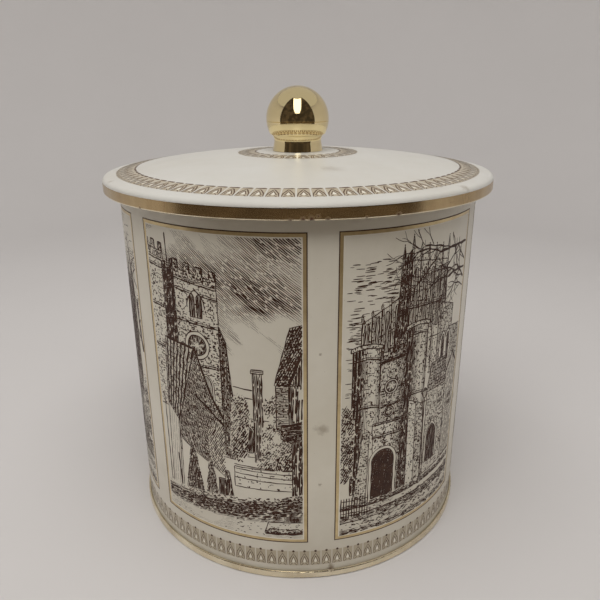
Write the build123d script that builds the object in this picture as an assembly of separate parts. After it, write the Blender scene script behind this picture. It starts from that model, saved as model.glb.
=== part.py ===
from build123d import *
import math
import os

# A round coffee tin of printed tinplate with a lift-off domed lid and a ball knob.
# Millimetres, +Z up. The origin is the centre of the base, on the surface that the tin stands on.
# Angles round the tin are counted from -Y, the front, towards +X.

# Driving dimensions
BODY_RADIUS = 75.3
MOUTH_HEIGHT = 149.0
LID_RADIUS = 81.4
SKIRT_BOTTOM = 146.5
DOME_TOP = 159.8
DOME_RADIUS = 425.0
SHOULDER_BEND = 1.9
BALL_RADIUS = 13.25
BALL_CENTRE = 172.65
BALL_JOINT = 171.75

# Sheet metal, and the gaps between its layers and between the lid and the body
TINPLATE = 0.3
HALF = TINPLATE / 2
FOLD_GAP = 0.05
LAYER = TINPLATE + FOLD_GAP
FOLD_BEND = LAYER - 0.01
SLIDING_GAP = 0.3
REST_GAP = 0.05

# Base end, with the double seam that holds it on the body
SEAM_HEIGHT = 3.3
SEAM_FOOT_BEND = 0.5
END_HOOK_BOTTOM = 1.1
BODY_HOOK_TOP = 2.3
PANEL_HEIGHT = 4.4
PANEL_BEND = 0.6
BEAD_RADII = (54.0, 65.0)
BEAD_HALF_WIDTH = 2.0
BEAD_DEPTH = 0.9
BEAD_BEND = 0.9
COMPOUND_WIDTH = 0.26
COMPOUND_LOW = 2.5
COMPOUND_HIGH = 2.85

# Mouth curl and side seam of the body
CURL_DIAMETER = 2.2
SIDE_SEAM_ANGLE = 186.0
SIDE_SEAM_WIDTH = 4.0
SIDE_SEAM_LAYERS = 2
SIDE_SEAM_LOW = 8.0
SIDE_SEAM_HIGH = 141.0
GROOVE_WIDTH = 0.4
GROOVE_DEPTH = 0.12

# Lid hem, and the ring under the lid that plugs the mouth
HEM_HEIGHT = 1.6
PLUG_BOTTOM = 136.5
PLUG_BEND = 1.0
PLUG_BEAD_WIDTH = 1.4
PLUG_BEAD_BEND = 0.6
LIP_BEND = 0.5

# Knob
SHELL_WALL = 2.0
JOINT_GROOVE = 0.12
SPIGOT_RADIUS = 11.7
SPIGOT_BOTTOM = 169.9
SPIGOT_GAP = 0.05
NECK_RADIUS = 10.1
NECK_TOP = 163.3
FLARE_RADIUS = 11.3
FLARE_TOP = 166.5
FOOT_RADIUS = 10.7
FOOT_HEIGHT = 159.75
FLOOR_RECESS = 0.8
FLOOR_THICKNESS = 1.8
BOSS_RADIUS = 5.0
BOSS_TOP = 169.5

# Threaded insert, screw and washer that fasten the knob through the lid
INSERT_RADIUS = 3.0
INSERT_TOP = 168.5
INSERT_GAP = 0.02
KNURL_COUNT = 16
KNURL_RADIUS = 0.3
THREAD_RADIUS = 2.0
THREAD_GAP = 0.06
SCREW_HOLE_RADIUS = 2.3
SCREW_TOP = 167.3
SCREW_TIP_CHAMFER = 0.5
HEAD_RADIUS = 3.9
HEAD_HEIGHT = 2.3
HEAD_ROUND = 1.3
SLOT_WIDTH = 1.0
SLOT_DEPTH = 1.1
WASHER_RADIUS = 6.0
WASHER_THICKNESS = 0.8

# Middle of each layer of metal in the double seam, from the inside out
CHUCK_WALL = BODY_RADIUS - HALF - LAYER
BODY_MIDDLE = BODY_RADIUS - HALF
END_HOOK = BODY_MIDDLE + LAYER
BODY_HOOK = END_HOOK + LAYER
SEAMING_WALL = BODY_HOOK + LAYER

# Heights and radii that follow from the sheets lying on each other
DOME_CENTRE = DOME_TOP - DOME_RADIUS
DOME_MIDDLE = DOME_RADIUS - HALF
SKIRT_MIDDLE = LID_RADIUS - HALF
HEM_BOTTOM = SKIRT_BOTTOM + HALF
FLANGE_MIDDLE = MOUTH_HEIGHT + REST_GAP + HALF
PLUG_MIDDLE = BODY_RADIUS - CURL_DIAMETER - SLIDING_GAP - HALF
WASHER_TOP = DOME_TOP - TINPLATE - REST_GAP
HEAD_TOP = WASHER_TOP - WASHER_THICKNESS
HEAD_BOTTOM = HEAD_TOP - HEAD_HEIGHT


def bent(points, bends):
    """A path through points (radius, height) in the XZ plane, rounded at each inner point."""
    return FilletPolyline(*[(x, 0, z) for x, z in points], radius=bends)


def sheet(path):
    """A closed section one sheet of tinplate thick, with round edges, along a path in the XZ plane."""
    return make_face(offset(path, amount=HALF, kind=Kind.ARC, side=Side.BOTH))


def spin(section, arc=360.0):
    """A section in the XZ plane turned about the tin's axis."""
    return revolve(section, Axis.Z, revolution_arc=arc)


def ring(inner, outer, low, high):
    """A plain ring about the tin's axis."""
    return Pos(0, 0, low) * extrude(Circle(outer) - Circle(inner), high - low)


def disc(radius, low, high):
    """A plain disc about the tin's axis."""
    return Pos(0, 0, low) * extrude(Circle(radius), high - low)


def ball(radius, low, high):
    """The slice of the knob's sphere, of this radius, between two heights."""
    return Pos(0, 0, BALL_CENTRE) * Sphere(radius) & disc(2 * BALL_RADIUS, low, high)


def upright_strip(inner, outer, width, low, high):
    """A curved strip centred on the side seam."""
    arc = math.degrees(width / BODY_RADIUS)
    corners = [(inner, 0, low), (outer, 0, low), (outer, 0, high), (inner, 0, high)]
    section = make_face(Polyline(*corners, close=True))
    return Rot(Z=SIDE_SEAM_ANGLE - 90.0 - arc / 2) * spin(section, arc)


def body_wall():
    """The rolled wall: the hook at its foot, the curl at its mouth, and the folded side seam."""
    curl_inner = BODY_RADIUS - CURL_DIAMETER + HALF
    curl_top = MOUTH_HEIGHT - HALF
    curl_bottom = MOUTH_HEIGHT - CURL_DIAMETER + HALF
    curl_bend = (CURL_DIAMETER - TINPLATE) / 2 - FOLD_GAP
    hook_bottom = HALF + LAYER
    path = bent(
        [
            (BODY_HOOK, BODY_HOOK_TOP),
            (BODY_HOOK, hook_bottom),
            (BODY_MIDDLE, hook_bottom),
            (BODY_MIDDLE, curl_top),
            (curl_inner, curl_top),
            (curl_inner, curl_bottom),
            (BODY_MIDDLE - LAYER - HALF, curl_bottom),
        ],
        [FOLD_BEND, FOLD_BEND, curl_bend, curl_bend, curl_bend],
    )
    wall_inner = BODY_RADIUS - TINPLATE
    fold_inner = wall_inner - SIDE_SEAM_LAYERS * TINPLATE
    fold = upright_strip(fold_inner, wall_inner + HALF, SIDE_SEAM_WIDTH, SIDE_SEAM_LOW, SIDE_SEAM_HIGH)
    groove_inner = BODY_RADIUS - GROOVE_DEPTH
    groove = upright_strip(groove_inner, BODY_RADIUS + HALF, GROOVE_WIDTH, SEAM_HEIGHT, SIDE_SEAM_HIGH)
    return spin(sheet(path)) + fold - groove


def base_end():
    """The stamped base: a beaded panel, set in above the rim, whose edge folds round the body's hook."""
    panel = PANEL_HEIGHT - HALF
    points = [(-BEAD_DEPTH, panel)]
    for radius in BEAD_RADII:
        points += [
            (radius - BEAD_HALF_WIDTH, panel),
            (radius - BEAD_HALF_WIDTH / 2, panel - BEAD_DEPTH),
            (radius + BEAD_HALF_WIDTH / 2, panel - BEAD_DEPTH),
            (radius + BEAD_HALF_WIDTH, panel),
        ]
    seam_top = SEAM_HEIGHT - HALF
    bends = [BEAD_BEND] * (len(points) - 1)
    bends += [PANEL_BEND, SEAM_FOOT_BEND, SEAM_FOOT_BEND, FOLD_BEND, FOLD_BEND]
    points += [
        (CHUCK_WALL, panel),
        (CHUCK_WALL, HALF),
        (SEAMING_WALL, HALF),
        (SEAMING_WALL, seam_top),
        (END_HOOK, seam_top),
        (END_HOOK, END_HOOK_BOTTOM),
    ]
    outward = Pos(BODY_RADIUS, 0, 0) * Box(2 * BODY_RADIUS, 2 * BODY_RADIUS, 2 * BODY_RADIUS)
    return spin(sheet(bent(points, bends)) & outward)


def seam_compound():
    """The bead of sealing compound that fills the top of the double seam."""
    half_width = COMPOUND_WIDTH / 2
    return ring(BODY_HOOK - half_width, BODY_HOOK + half_width, COMPOUND_LOW, COMPOUND_HIGH)


def on_dome(radius):
    """The point of the dome's middle surface at this radius."""
    return (radius, 0, DOME_CENTRE + math.sqrt(DOME_MIDDLE**2 - radius**2))


def lid_top():
    """The domed lid: a spherical cap, a rounded shoulder, and a skirt hemmed inwards at its foot."""
    shoulder_x = SKIRT_MIDDLE - SHOULDER_BEND
    inner_reach = DOME_MIDDLE - SHOULDER_BEND
    shoulder_z = DOME_CENTRE + math.sqrt(inner_reach**2 - shoulder_x**2)
    dome_edge = shoulder_x * DOME_MIDDLE / inner_reach
    hem_inner = SKIRT_MIDDLE - 2 * LAYER
    dome = ThreePointArc(on_dome(SCREW_HOLE_RADIUS), on_dome(dome_edge / 2), on_dome(dome_edge))
    shoulder = TangentArc(dome @ 1, (SKIRT_MIDDLE, 0, shoulder_z), tangent=dome % 1)
    skirt = bent(
        [
            (SKIRT_MIDDLE, shoulder_z),
            (SKIRT_MIDDLE, HEM_BOTTOM),
            (hem_inner, HEM_BOTTOM),
            (hem_inner, HEM_BOTTOM + HEM_HEIGHT),
        ],
        [FOLD_BEND, FOLD_BEND],
    )
    return spin(sheet(dome + shoulder + skirt))


def lid_plug():
    """The ring held in the lid's hem: a flange that rests on the mouth and a wall that goes down inside it."""
    lip = SKIRT_MIDDLE - LAYER
    bead_inner = PLUG_MIDDLE - PLUG_BEAD_WIDTH
    plug_foot = PLUG_BOTTOM + HALF
    path = bent(
        [
            (lip, HEM_BOTTOM + LAYER),
            (lip, FLANGE_MIDDLE),
            (PLUG_MIDDLE, FLANGE_MIDDLE),
            (PLUG_MIDDLE, plug_foot),
            (bead_inner, plug_foot),
            (bead_inner, plug_foot + PLUG_BEAD_WIDTH),
        ],
        [LIP_BEND, PLUG_BEND, PLUG_BEAD_BEND, PLUG_BEAD_BEND],
    )
    return spin(sheet(path))


def joint_groove():
    """The fine V groove where the two shells of the knob meet."""
    rim = math.sqrt(BALL_RADIUS**2 - (BALL_JOINT - BALL_CENTRE) ** 2)
    corners = [(rim - JOINT_GROOVE, BALL_JOINT), (rim, BALL_JOINT - JOINT_GROOVE)]
    corners += [(rim + JOINT_GROOVE, BALL_JOINT), (rim, BALL_JOINT + JOINT_GROOVE)]
    return spin(make_face(Polyline(*[(x, 0, z) for x, z in corners], close=True)))


def knob_upper_shell():
    """The top of the ball, with a spigot that locates it in the lower shell."""
    top = BALL_CENTRE + BALL_RADIUS
    inner = BALL_RADIUS - SHELL_WALL
    inner_rim = math.sqrt(inner**2 - (BALL_JOINT - BALL_CENTRE) ** 2)
    cap = ball(BALL_RADIUS, BALL_JOINT, top) - ball(inner, BALL_JOINT, top)
    spigot = ring(inner_rim, SPIGOT_RADIUS, SPIGOT_BOTTOM, BALL_JOINT)
    return cap + spigot - joint_groove()


def neck_section(inset):
    """The section of the knob's neck: a cone that flares to the ball, drawn in by inset."""
    foot = (FOOT_RADIUS - inset, 0, FOOT_HEIGHT)
    waist = (NECK_RADIUS - inset, 0, NECK_TOP)
    flare = (FLARE_RADIUS - inset, 0, FLARE_TOP)
    cone = Line(foot, waist)
    throat = TangentArc(waist, flare, tangent=cone % 1)
    close = Polyline(flare, (0, 0, FLARE_TOP), (0, 0, FOOT_HEIGHT), foot)
    return make_face(cone + throat + close)


def knob_lower_shell():
    """The foot of the ball with its neck, floor, and a boss for the threaded insert."""
    inner = BALL_RADIUS - SHELL_WALL
    floor_top = FOOT_HEIGHT + FLOOR_RECESS + FLOOR_THICKNESS
    outside = ball(BALL_RADIUS, FLARE_TOP, BALL_JOINT) + spin(neck_section(0))
    hollow = ball(inner, FLARE_TOP, BALL_JOINT) + spin(neck_section(SHELL_WALL))
    hollow = hollow & disc(BALL_RADIUS, floor_top, BALL_JOINT)
    rebate = disc(SPIGOT_RADIUS + SPIGOT_GAP, SPIGOT_BOTTOM - SPIGOT_GAP, BALL_JOINT)
    recess = ring(BOSS_RADIUS, NECK_RADIUS - SHELL_WALL / 2, FOOT_HEIGHT, FOOT_HEIGHT + FLOOR_RECESS)
    boss = disc(BOSS_RADIUS, FOOT_HEIGHT + REST_GAP, BOSS_TOP)
    bore = disc(INSERT_RADIUS + INSERT_GAP, FOOT_HEIGHT, INSERT_TOP + INSERT_GAP)
    under_boss = disc(BOSS_RADIUS, FOOT_HEIGHT, FOOT_HEIGHT + 2 * REST_GAP)
    shell = outside - hollow - rebate - recess + boss - bore - under_boss
    return shell - joint_groove()


def knob_insert():
    """The knurled brass insert moulded into the knob."""
    low = FOOT_HEIGHT + 2 * REST_GAP
    insert = ring(THREAD_RADIUS + THREAD_GAP, INSERT_RADIUS, low, INSERT_TOP)
    for place in PolarLocations(INSERT_RADIUS, KNURL_COUNT):
        insert -= Pos(0, 0, low) * place * extrude(Circle(KNURL_RADIUS), INSERT_TOP - low)
    return insert


def knob_screw():
    """The slotted pan-head screw that comes up through the lid into the insert."""
    head = disc(HEAD_RADIUS, HEAD_BOTTOM, HEAD_TOP)
    head = fillet(head.edges().sort_by(Axis.Z)[0], HEAD_ROUND)
    slot_middle = HEAD_BOTTOM + SLOT_DEPTH / 2
    head -= Pos(0, 0, slot_middle) * Box(2 * HEAD_RADIUS, SLOT_WIDTH, SLOT_DEPTH)
    shank = disc(THREAD_RADIUS, HEAD_TOP, SCREW_TOP)
    shank = chamfer(shank.edges().sort_by(Axis.Z)[-1], SCREW_TIP_CHAMFER)
    return head + shank


def screw_washer():
    """The plain washer between the screw's head and the inside of the lid."""
    return ring(SCREW_HOLE_RADIUS, WASHER_RADIUS, HEAD_TOP, WASHER_TOP)


SUB_PARTS = [
    body_wall,
    base_end,
    seam_compound,
    lid_top,
    lid_plug,
    knob_upper_shell,
    knob_lower_shell,
    knob_insert,
    knob_screw,
    screw_washer,
]

os.makedirs("parts", exist_ok=True)
for make in SUB_PARTS:
    export_step(make(), f"parts/{make.__name__}.step")
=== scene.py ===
import math

import bpy
import numpy as np
from mathutils import Matrix, Vector


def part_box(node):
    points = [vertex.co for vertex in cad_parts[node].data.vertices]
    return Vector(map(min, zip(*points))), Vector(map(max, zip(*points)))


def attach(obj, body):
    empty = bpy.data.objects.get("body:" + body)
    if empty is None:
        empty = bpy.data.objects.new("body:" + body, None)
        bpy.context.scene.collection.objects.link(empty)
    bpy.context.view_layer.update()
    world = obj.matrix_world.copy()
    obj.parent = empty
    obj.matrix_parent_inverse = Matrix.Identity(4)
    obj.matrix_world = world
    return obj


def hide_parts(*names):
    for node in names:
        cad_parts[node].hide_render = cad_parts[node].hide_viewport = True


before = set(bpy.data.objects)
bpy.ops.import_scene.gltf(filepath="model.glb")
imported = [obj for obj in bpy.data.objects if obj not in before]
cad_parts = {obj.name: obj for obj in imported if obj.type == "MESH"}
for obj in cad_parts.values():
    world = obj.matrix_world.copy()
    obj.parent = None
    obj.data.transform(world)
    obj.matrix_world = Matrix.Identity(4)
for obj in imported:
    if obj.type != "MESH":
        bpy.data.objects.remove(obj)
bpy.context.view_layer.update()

# ---- Sizes, in metres, in the CAD frame. Angles round the tin are counted from -Y, the front, towards +X.
MM = 0.001


def outer_radius(node):
    """The largest distance of a CAD node's surface from the tin's axis."""
    return max(math.hypot(v.co.x, v.co.y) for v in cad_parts[node].data.vertices)


# The sheet metal, and the pitch and bend of its folded layers.
SHEET = 0.3 * MM
HALF = SHEET / 2
LAYER = 0.35 * MM
FOLD_BEND = 0.34 * MM
# Where the wall, the lid and the knob begin and end.
BODY_R = outer_radius("body_wall") - 2 * LAYER
LID_R = outer_radius("lid_top")
MOUTH_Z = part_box("body_wall")[1].z
SKIRT_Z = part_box("lid_top")[0].z
SEAM_Z = 3.3 * MM
KNOB_FOOT_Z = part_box("knob_lower_shell")[0].z
DOME_R = 425.0 * MM
DOME_TOP = KNOB_FOOT_Z + 0.05 * MM
DOME_CENTRE = DOME_TOP - DOME_R
SHOULDER_BEND = 1.9 * MM
GOLD_LINE_Z = SKIRT_Z + 4.1 * MM
HEM_LINE_Z = SKIRT_Z + 0.7 * MM

# The six printed pictures and the bands of ornament, in millimetres and degrees.
PANELS = 6
PANEL_PITCH = 58.4
PANEL_START = -139.3
PANEL_W = 66.4
PANEL_H = 124.4
PANEL_LOW = 17.1
FRAME = 1.95
FRAME_LINE = 0.42
FRAME_GOLD = 1.15
FRAME_LIGHT = 0.35
SIDE_SEAM = 186.0
FOOT_BAND_LOW = 5.7
LID_BAND_OUTER = 76.0
LID_BAND_MIDDLE = 72.0
KNOB_BAND_OUTER = 25.8
KNOB_BAND_MIDDLE = 21.5

# How far the prints lie above the enamel.
GOLD_LIFT = 0.02 * MM
INK_LIFT = 0.035 * MM


# ---- Materials
class Shader:
    """A material's nodes, with short calls for the ones used here."""

    def __init__(self, name):
        self.material = bpy.data.materials.new(name)
        self.material.use_nodes = True
        self.tree = self.material.node_tree
        self.tree.nodes.clear()
        self.surface = self.tree.nodes.new("ShaderNodeBsdfPrincipled")
        output = self.tree.nodes.new("ShaderNodeOutputMaterial")
        self.tree.links.new(self.surface.outputs[0], output.inputs["Surface"])
        self.coords = self.tree.nodes.new("ShaderNodeTexCoord").outputs["Object"]

    def put(self, socket, value):
        if isinstance(value, bpy.types.NodeSocket):
            self.tree.links.new(value, socket)
        elif socket.type == "RGBA" and len(value) == 3:
            socket.default_value = (*value, 1.0)
        else:
            socket.default_value = value

    def set(self, **values):
        for name, value in values.items():
            self.put(self.surface.inputs[name.replace("_", " ").title()], value)
        return self

    def stretch(self, scale):
        node = self.tree.nodes.new("ShaderNodeMapping")
        self.put(node.inputs["Vector"], self.coords)
        node.inputs["Scale"].default_value = scale
        return node.outputs[0]

    def noise(self, scale, detail=4.0, rough=0.6, distortion=0.0, coords=None):
        node = self.tree.nodes.new("ShaderNodeTexNoise")
        self.put(node.inputs["Vector"], coords or self.coords)
        node.inputs["Scale"].default_value = scale
        node.inputs["Detail"].default_value = detail
        node.inputs["Roughness"].default_value = rough
        node.inputs["Distortion"].default_value = distortion
        return node.outputs["Fac"]

    def cells(self, scale):
        node = self.tree.nodes.new("ShaderNodeTexVoronoi")
        self.put(node.inputs["Vector"], self.coords)
        node.inputs["Scale"].default_value = scale
        return node.outputs["Distance"]

    def fit(self, value, low, high, to_low=0.0, to_high=1.0):
        node = self.tree.nodes.new("ShaderNodeMapRange")
        self.put(node.inputs["Value"], value)
        for name, number in zip(("From Min", "From Max", "To Min", "To Max"), (low, high, to_low, to_high)):
            node.inputs[name].default_value = number
        return node.outputs["Result"]

    def math(self, operation, a, b):
        node = self.tree.nodes.new("ShaderNodeMath")
        node.operation = operation
        self.put(node.inputs[0], a)
        self.put(node.inputs[1], b)
        return node.outputs[0]

    def times(self, a, b):
        return self.math("MULTIPLY", a, b)

    def mix(self, factor, a, b):
        node = self.tree.nodes.new("ShaderNodeMix")
        node.data_type = "RGBA"
        self.put(node.inputs["Factor"], factor)
        self.put(node.inputs[6], a)
        self.put(node.inputs[7], b)
        return node.outputs[2]

    def height(self):
        node = self.tree.nodes.new("ShaderNodeSeparateXYZ")
        self.put(node.inputs[0], self.coords)
        return node.outputs["Z"]

    def near(self, angle, radius, height, reach):
        """1 at a place on the tin, fading unevenly to 0 at reach."""
        turn = math.radians(angle)
        node = self.tree.nodes.new("ShaderNodeVectorMath")
        node.operation = "DISTANCE"
        self.put(node.inputs[0], self.coords)
        node.inputs[1].default_value = (radius * math.sin(turn), -radius * math.cos(turn), height)
        uneven = self.times(self.fit(self.noise(1.2 / reach, 4.0, 0.7), 0.3, 0.7), 0.9 * reach)
        return self.fit(self.math("ADD", node.outputs["Value"], uneven), 0.5 * reach, 1.4 * reach, 1.0, 0.0)

    def bump(self, height, strength, distance):
        """Roughens the surface itself by a height texture."""
        node = self.tree.nodes.new("ShaderNodeBump")
        self.put(node.inputs["Height"], height)
        node.inputs["Strength"].default_value = strength
        node.inputs["Distance"].default_value = distance
        self.put(self.surface.inputs["Normal"], node.outputs[0])

    def varnish(self):
        """A thin clear coat over enamel or print."""
        self.surface.inputs["Coat Weight"].default_value = 0.22
        self.surface.inputs["Coat Roughness"].default_value = 0.26


def enamel(name, colour, aged, stain, marks, darken_below=None):
    """Stoved enamel: slightly uneven in colour, with faint stains, tiny specks and a soft orange peel.
    Each mark is a place on the tin (angle, radius, height), its reach and its strength.
    The colour darkens towards the foot, below the given height."""
    s = Shader(name)
    cloud = s.fit(s.noise(22.0, 5.0, 0.65), 0.38, 0.68)
    blotch = s.fit(s.noise(60.0, 6.0, 0.7, 0.6), 0.66, 0.80)
    speck = s.fit(s.noise(900.0, 2.0, 0.5), 0.745, 0.80)
    rarer = s.fit(s.noise(140.0, 2.0, 0.5), 0.50, 0.62)
    colours = s.mix(cloud, colour, aged)
    colours = s.mix(s.times(blotch, 0.30), colours, stain)
    colours = s.mix(s.times(s.times(speck, rarer), 0.75), colours, (0.16, 0.08, 0.03))
    for *place_and_reach, strength in marks:
        colours = s.mix(s.times(s.near(*place_and_reach), strength), colours, (0.17, 0.11, 0.05))
    # Darker towards the foot, below the given height.
    if darken_below:
        low_down = s.fit(s.height(), 0.0, darken_below, 1.0, 0.0)
        foot_darkening = s.times(low_down, s.fit(cloud, 0.0, 1.0, 0.30, 0.42))
        colours = s.mix(foot_darkening, colours, (0.30, 0.26, 0.20))
    wipe = s.noise(35.0, 6.0, 0.7, coords=s.stretch((1.0, 1.0, 0.35)))
    peel = s.noise(700.0, 2.0, 0.5)
    s.set(base_color=colours, roughness=s.fit(wipe, 0.3, 0.7, 0.30, 0.42))
    s.bump(peel, 0.06, 0.0002)
    s.varnish()
    return s.material


def gold_lacquer(name, colour, streaked, marks):
    """Gold lacquer over tinplate: darker drawn streaks, dull patches, and rust specks low on the edge."""
    s = Shader(name)
    streak = s.noise(90.0, 5.0, 0.6, coords=s.stretch((1.0, 1.0, 0.12)))
    dull = s.fit(s.noise(45.0, 6.0, 0.7, 0.4), 0.45, 0.75)
    rust = s.fit(s.noise(420.0, 4.0, 0.7), 0.69, 0.74)
    spots = s.fit(s.noise(60.0, 2.0, 0.5), 0.50, 0.64)
    colours = s.mix(s.fit(streak, 0.35, 0.7), colour, streaked)
    colours = s.mix(s.times(dull, 0.5), colours, (0.36, 0.28, 0.17))
    rusty = s.times(rust, spots)
    for place_and_reach in marks:
        rusty = s.math("MAXIMUM", rusty, s.near(*place_and_reach))
    colours = s.mix(rusty, colours, (0.09, 0.035, 0.015))
    rough = s.fit(streak, 0.3, 0.7, 0.17, 0.30)
    s.set(base_color=colours, roughness=s.math("ADD", rough, s.times(rusty, 0.4)))
    s.set(metallic=s.fit(rusty, 0.0, 1.0, 1.0, 0.1))
    scratch = s.noise(500.0, 3.0, 0.6, coords=s.stretch((1.0, 1.0, 0.2)))
    s.bump(scratch, 0.05, 0.0001)
    return s.material


def tinplate(name, colour, dull):
    """Plain tinplate: a fine spangle, soft dull patches and drawing lines."""
    s = Shader(name)
    spangle = s.cells(260.0)
    patch = s.fit(s.noise(40.0, 5.0, 0.65), 0.4, 0.7)
    lines = s.noise(500.0, 3.0, 0.6, coords=s.stretch((0.15, 0.15, 1.0)))
    colours = s.mix(s.fit(spangle, 0.0, 0.9, 0.0, 0.35), colour, dull)
    colours = s.mix(s.times(patch, 0.5), colours, dull)
    s.set(base_color=colours, metallic=1.0, roughness=s.fit(lines, 0.3, 0.7, 0.22, 0.36))
    s.bump(lines, 0.08, 0.0001)
    return s.material


def metallised(name):
    """Vacuum-metallised plastic: mirror gold with a faint moulding ripple and a few rubbed patches."""
    s = Shader(name)
    ripple = s.noise(55.0, 2.0, 0.4)
    rubbed = s.fit(s.noise(110.0, 5.0, 0.7), 0.55, 0.8)
    colours = s.mix(s.times(rubbed, 0.35), (0.88, 0.74, 0.43), (0.72, 0.57, 0.30))
    s.set(base_color=colours, metallic=1.0, roughness=s.fit(rubbed, 0.0, 1.0, 0.035, 0.11))
    s.bump(ripple, 0.10, 0.0004)
    return s.material


def machined(name, colour, dark):
    """Turned or plated metal with fine lines round the axis."""
    s = Shader(name)
    lines = s.noise(900.0, 3.0, 0.6, coords=s.stretch((0.2, 0.2, 1.0)))
    colours = s.mix(s.fit(lines, 0.35, 0.7), colour, dark)
    s.set(base_color=colours, metallic=1.0, roughness=s.fit(lines, 0.3, 0.7, 0.25, 0.42))
    s.bump(lines, 0.15, 0.0001)
    return s.material


def compound(name):
    """Matt sealing compound."""
    s = Shader(name)
    grain = s.noise(900.0, 4.0, 0.6)
    s.set(base_color=s.mix(grain, (0.30, 0.28, 0.24), (0.20, 0.18, 0.15)), roughness=0.8)
    return s.material


def ink(name, colour, thin):
    """Matt printing ink, slightly mottled where it lies thin."""
    s = Shader(name)
    mottle = s.fit(s.noise(420.0, 4.0, 0.7), 0.42, 0.75)
    s.set(base_color=s.mix(mottle, colour, thin), roughness=s.fit(mottle, 0.0, 1.0, 0.46, 0.58))
    s.surface.inputs["Specular IOR Level"].default_value = 0.25
    return s.material


def printed_colour(name, colour, worn, metallic):
    """A printed colour or gold, thin and slightly worn."""
    s = Shader(name)
    wear = s.fit(s.noise(120.0, 5.0, 0.7), 0.40, 0.72)
    colours = s.mix(wear, colour, worn)
    s.set(base_color=colours, roughness=s.fit(wear, 0.0, 1.0, 0.30, 0.42), metallic=metallic)
    s.varnish()
    return s.material


# Stains, chips and rust: angle, radius and height of each place, its reach and, on enamel, its strength.
BODY_MARKS = (
    (6.6, BODY_R, 68 * MM, 3.2 * MM, 0.45),
    (6.1, BODY_R, 98 * MM, 0.7 * MM, 0.8),
    (6.2, BODY_R, 44 * MM, 0.8 * MM, 0.8),
    (9.6, BODY_R, 3.8 * MM, 2.2 * MM, 0.9),
    (-28.0, BODY_R, 11.5 * MM, 2.6 * MM, 0.35),
    (62.0, BODY_R, 60 * MM, 2.4 * MM, 0.4),
    (183.0, BODY_R, 90 * MM, 2.6 * MM, 0.5),
)
LID_MARKS = (
    (16.0, 46 * MM, 158 * MM, 5.5 * MM, 0.30),
    (40.0, 68 * MM, 155 * MM, 2.2 * MM, 0.50),
    (47.0, 79.5 * MM, 152 * MM, 2.4 * MM, 0.55),
    (-62.0, 79.5 * MM, 152 * MM, 2.0 * MM, 0.55),
    (150.0, 55 * MM, 157 * MM, 4.0 * MM, 0.35),
)
SKIRT_SPOTS = ((-1.2, 0.4, 0.9), (1.6, 0.5, 1.2), (3.4, 0.6, 1.5), (4.9, 1.4, 0.9), (7.0, 0.4, 1.0))
SKIRT_SPOTS += ((15.9, 0.4, 0.8), (23.8, 0.5, 1.2), (-41.0, 0.4, 0.8), (171.0, 0.5, 1.2))
SKIRT_RUST = tuple((angle, LID_R, SKIRT_Z + rise * MM, reach * MM) for angle, rise, reach in SKIRT_SPOTS)
SEAM_RUST = (
    (9.6, BODY_R, 3.2 * MM, 1.6 * MM),
    (-52.0, BODY_R, 2.0 * MM, 1.0 * MM),
    (140.0, BODY_R, 2.0 * MM, 1.8 * MM),
)

BODY_ENAMEL = enamel(
    "body_enamel_worn", (0.74, 0.70, 0.60), (0.67, 0.625, 0.515), (0.36, 0.25, 0.12), BODY_MARKS, 45 * MM
)
LID_ENAMEL = enamel("lid_enamel_worn", (0.61, 0.60, 0.56), (0.57, 0.55, 0.495), (0.40, 0.30, 0.18), LID_MARKS)
GOLD = gold_lacquer("gold_lacquer_worn", (0.60, 0.46, 0.26), (0.44, 0.31, 0.16), SKIRT_RUST)
# A paler copy of the gold lacquer: partly a paler gold, partly painted highlight for the shine on the base
# seam and the lid's hem.
PALE_GOLD_HIGHLIGHT = gold_lacquer("gold_seam_worn_painted_highlight", (0.93, 0.85, 0.66), (0.80, 0.69, 0.49), SEAM_RUST + SKIRT_RUST)
INSIDE = tinplate("inside_tinplate", (0.60, 0.58, 0.53), (0.42, 0.40, 0.36))
KNOB_GOLD = metallised("knob_metallised")
BRASS = machined("insert_brass", (0.70, 0.52, 0.24), (0.50, 0.35, 0.15))
STEEL = machined("screw_zinc", (0.62, 0.63, 0.65), (0.42, 0.43, 0.45))
COMPOUND = compound("seam_compound_matt")
INK = ink("sepia_ink", (0.040, 0.015, 0.008), (0.085, 0.042, 0.026))
INK_LINE = ink("sepia_line_ink", (0.070, 0.036, 0.020), (0.12, 0.07, 0.04))
INK_BAND = ink("umber_ink", (0.075, 0.040, 0.022), (0.13, 0.08, 0.05))
PRINT_LIGHT = printed_colour("light_print", (0.78, 0.745, 0.65), (0.70, 0.66, 0.55), 0.0)
PRINT_TAN = printed_colour("tan_print", (0.46, 0.40, 0.295), (0.40, 0.335, 0.235), 0.0)
PRINT_GOLD = printed_colour("gold_print", (0.66, 0.53, 0.30), (0.50, 0.38, 0.20), 0.85)


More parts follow.
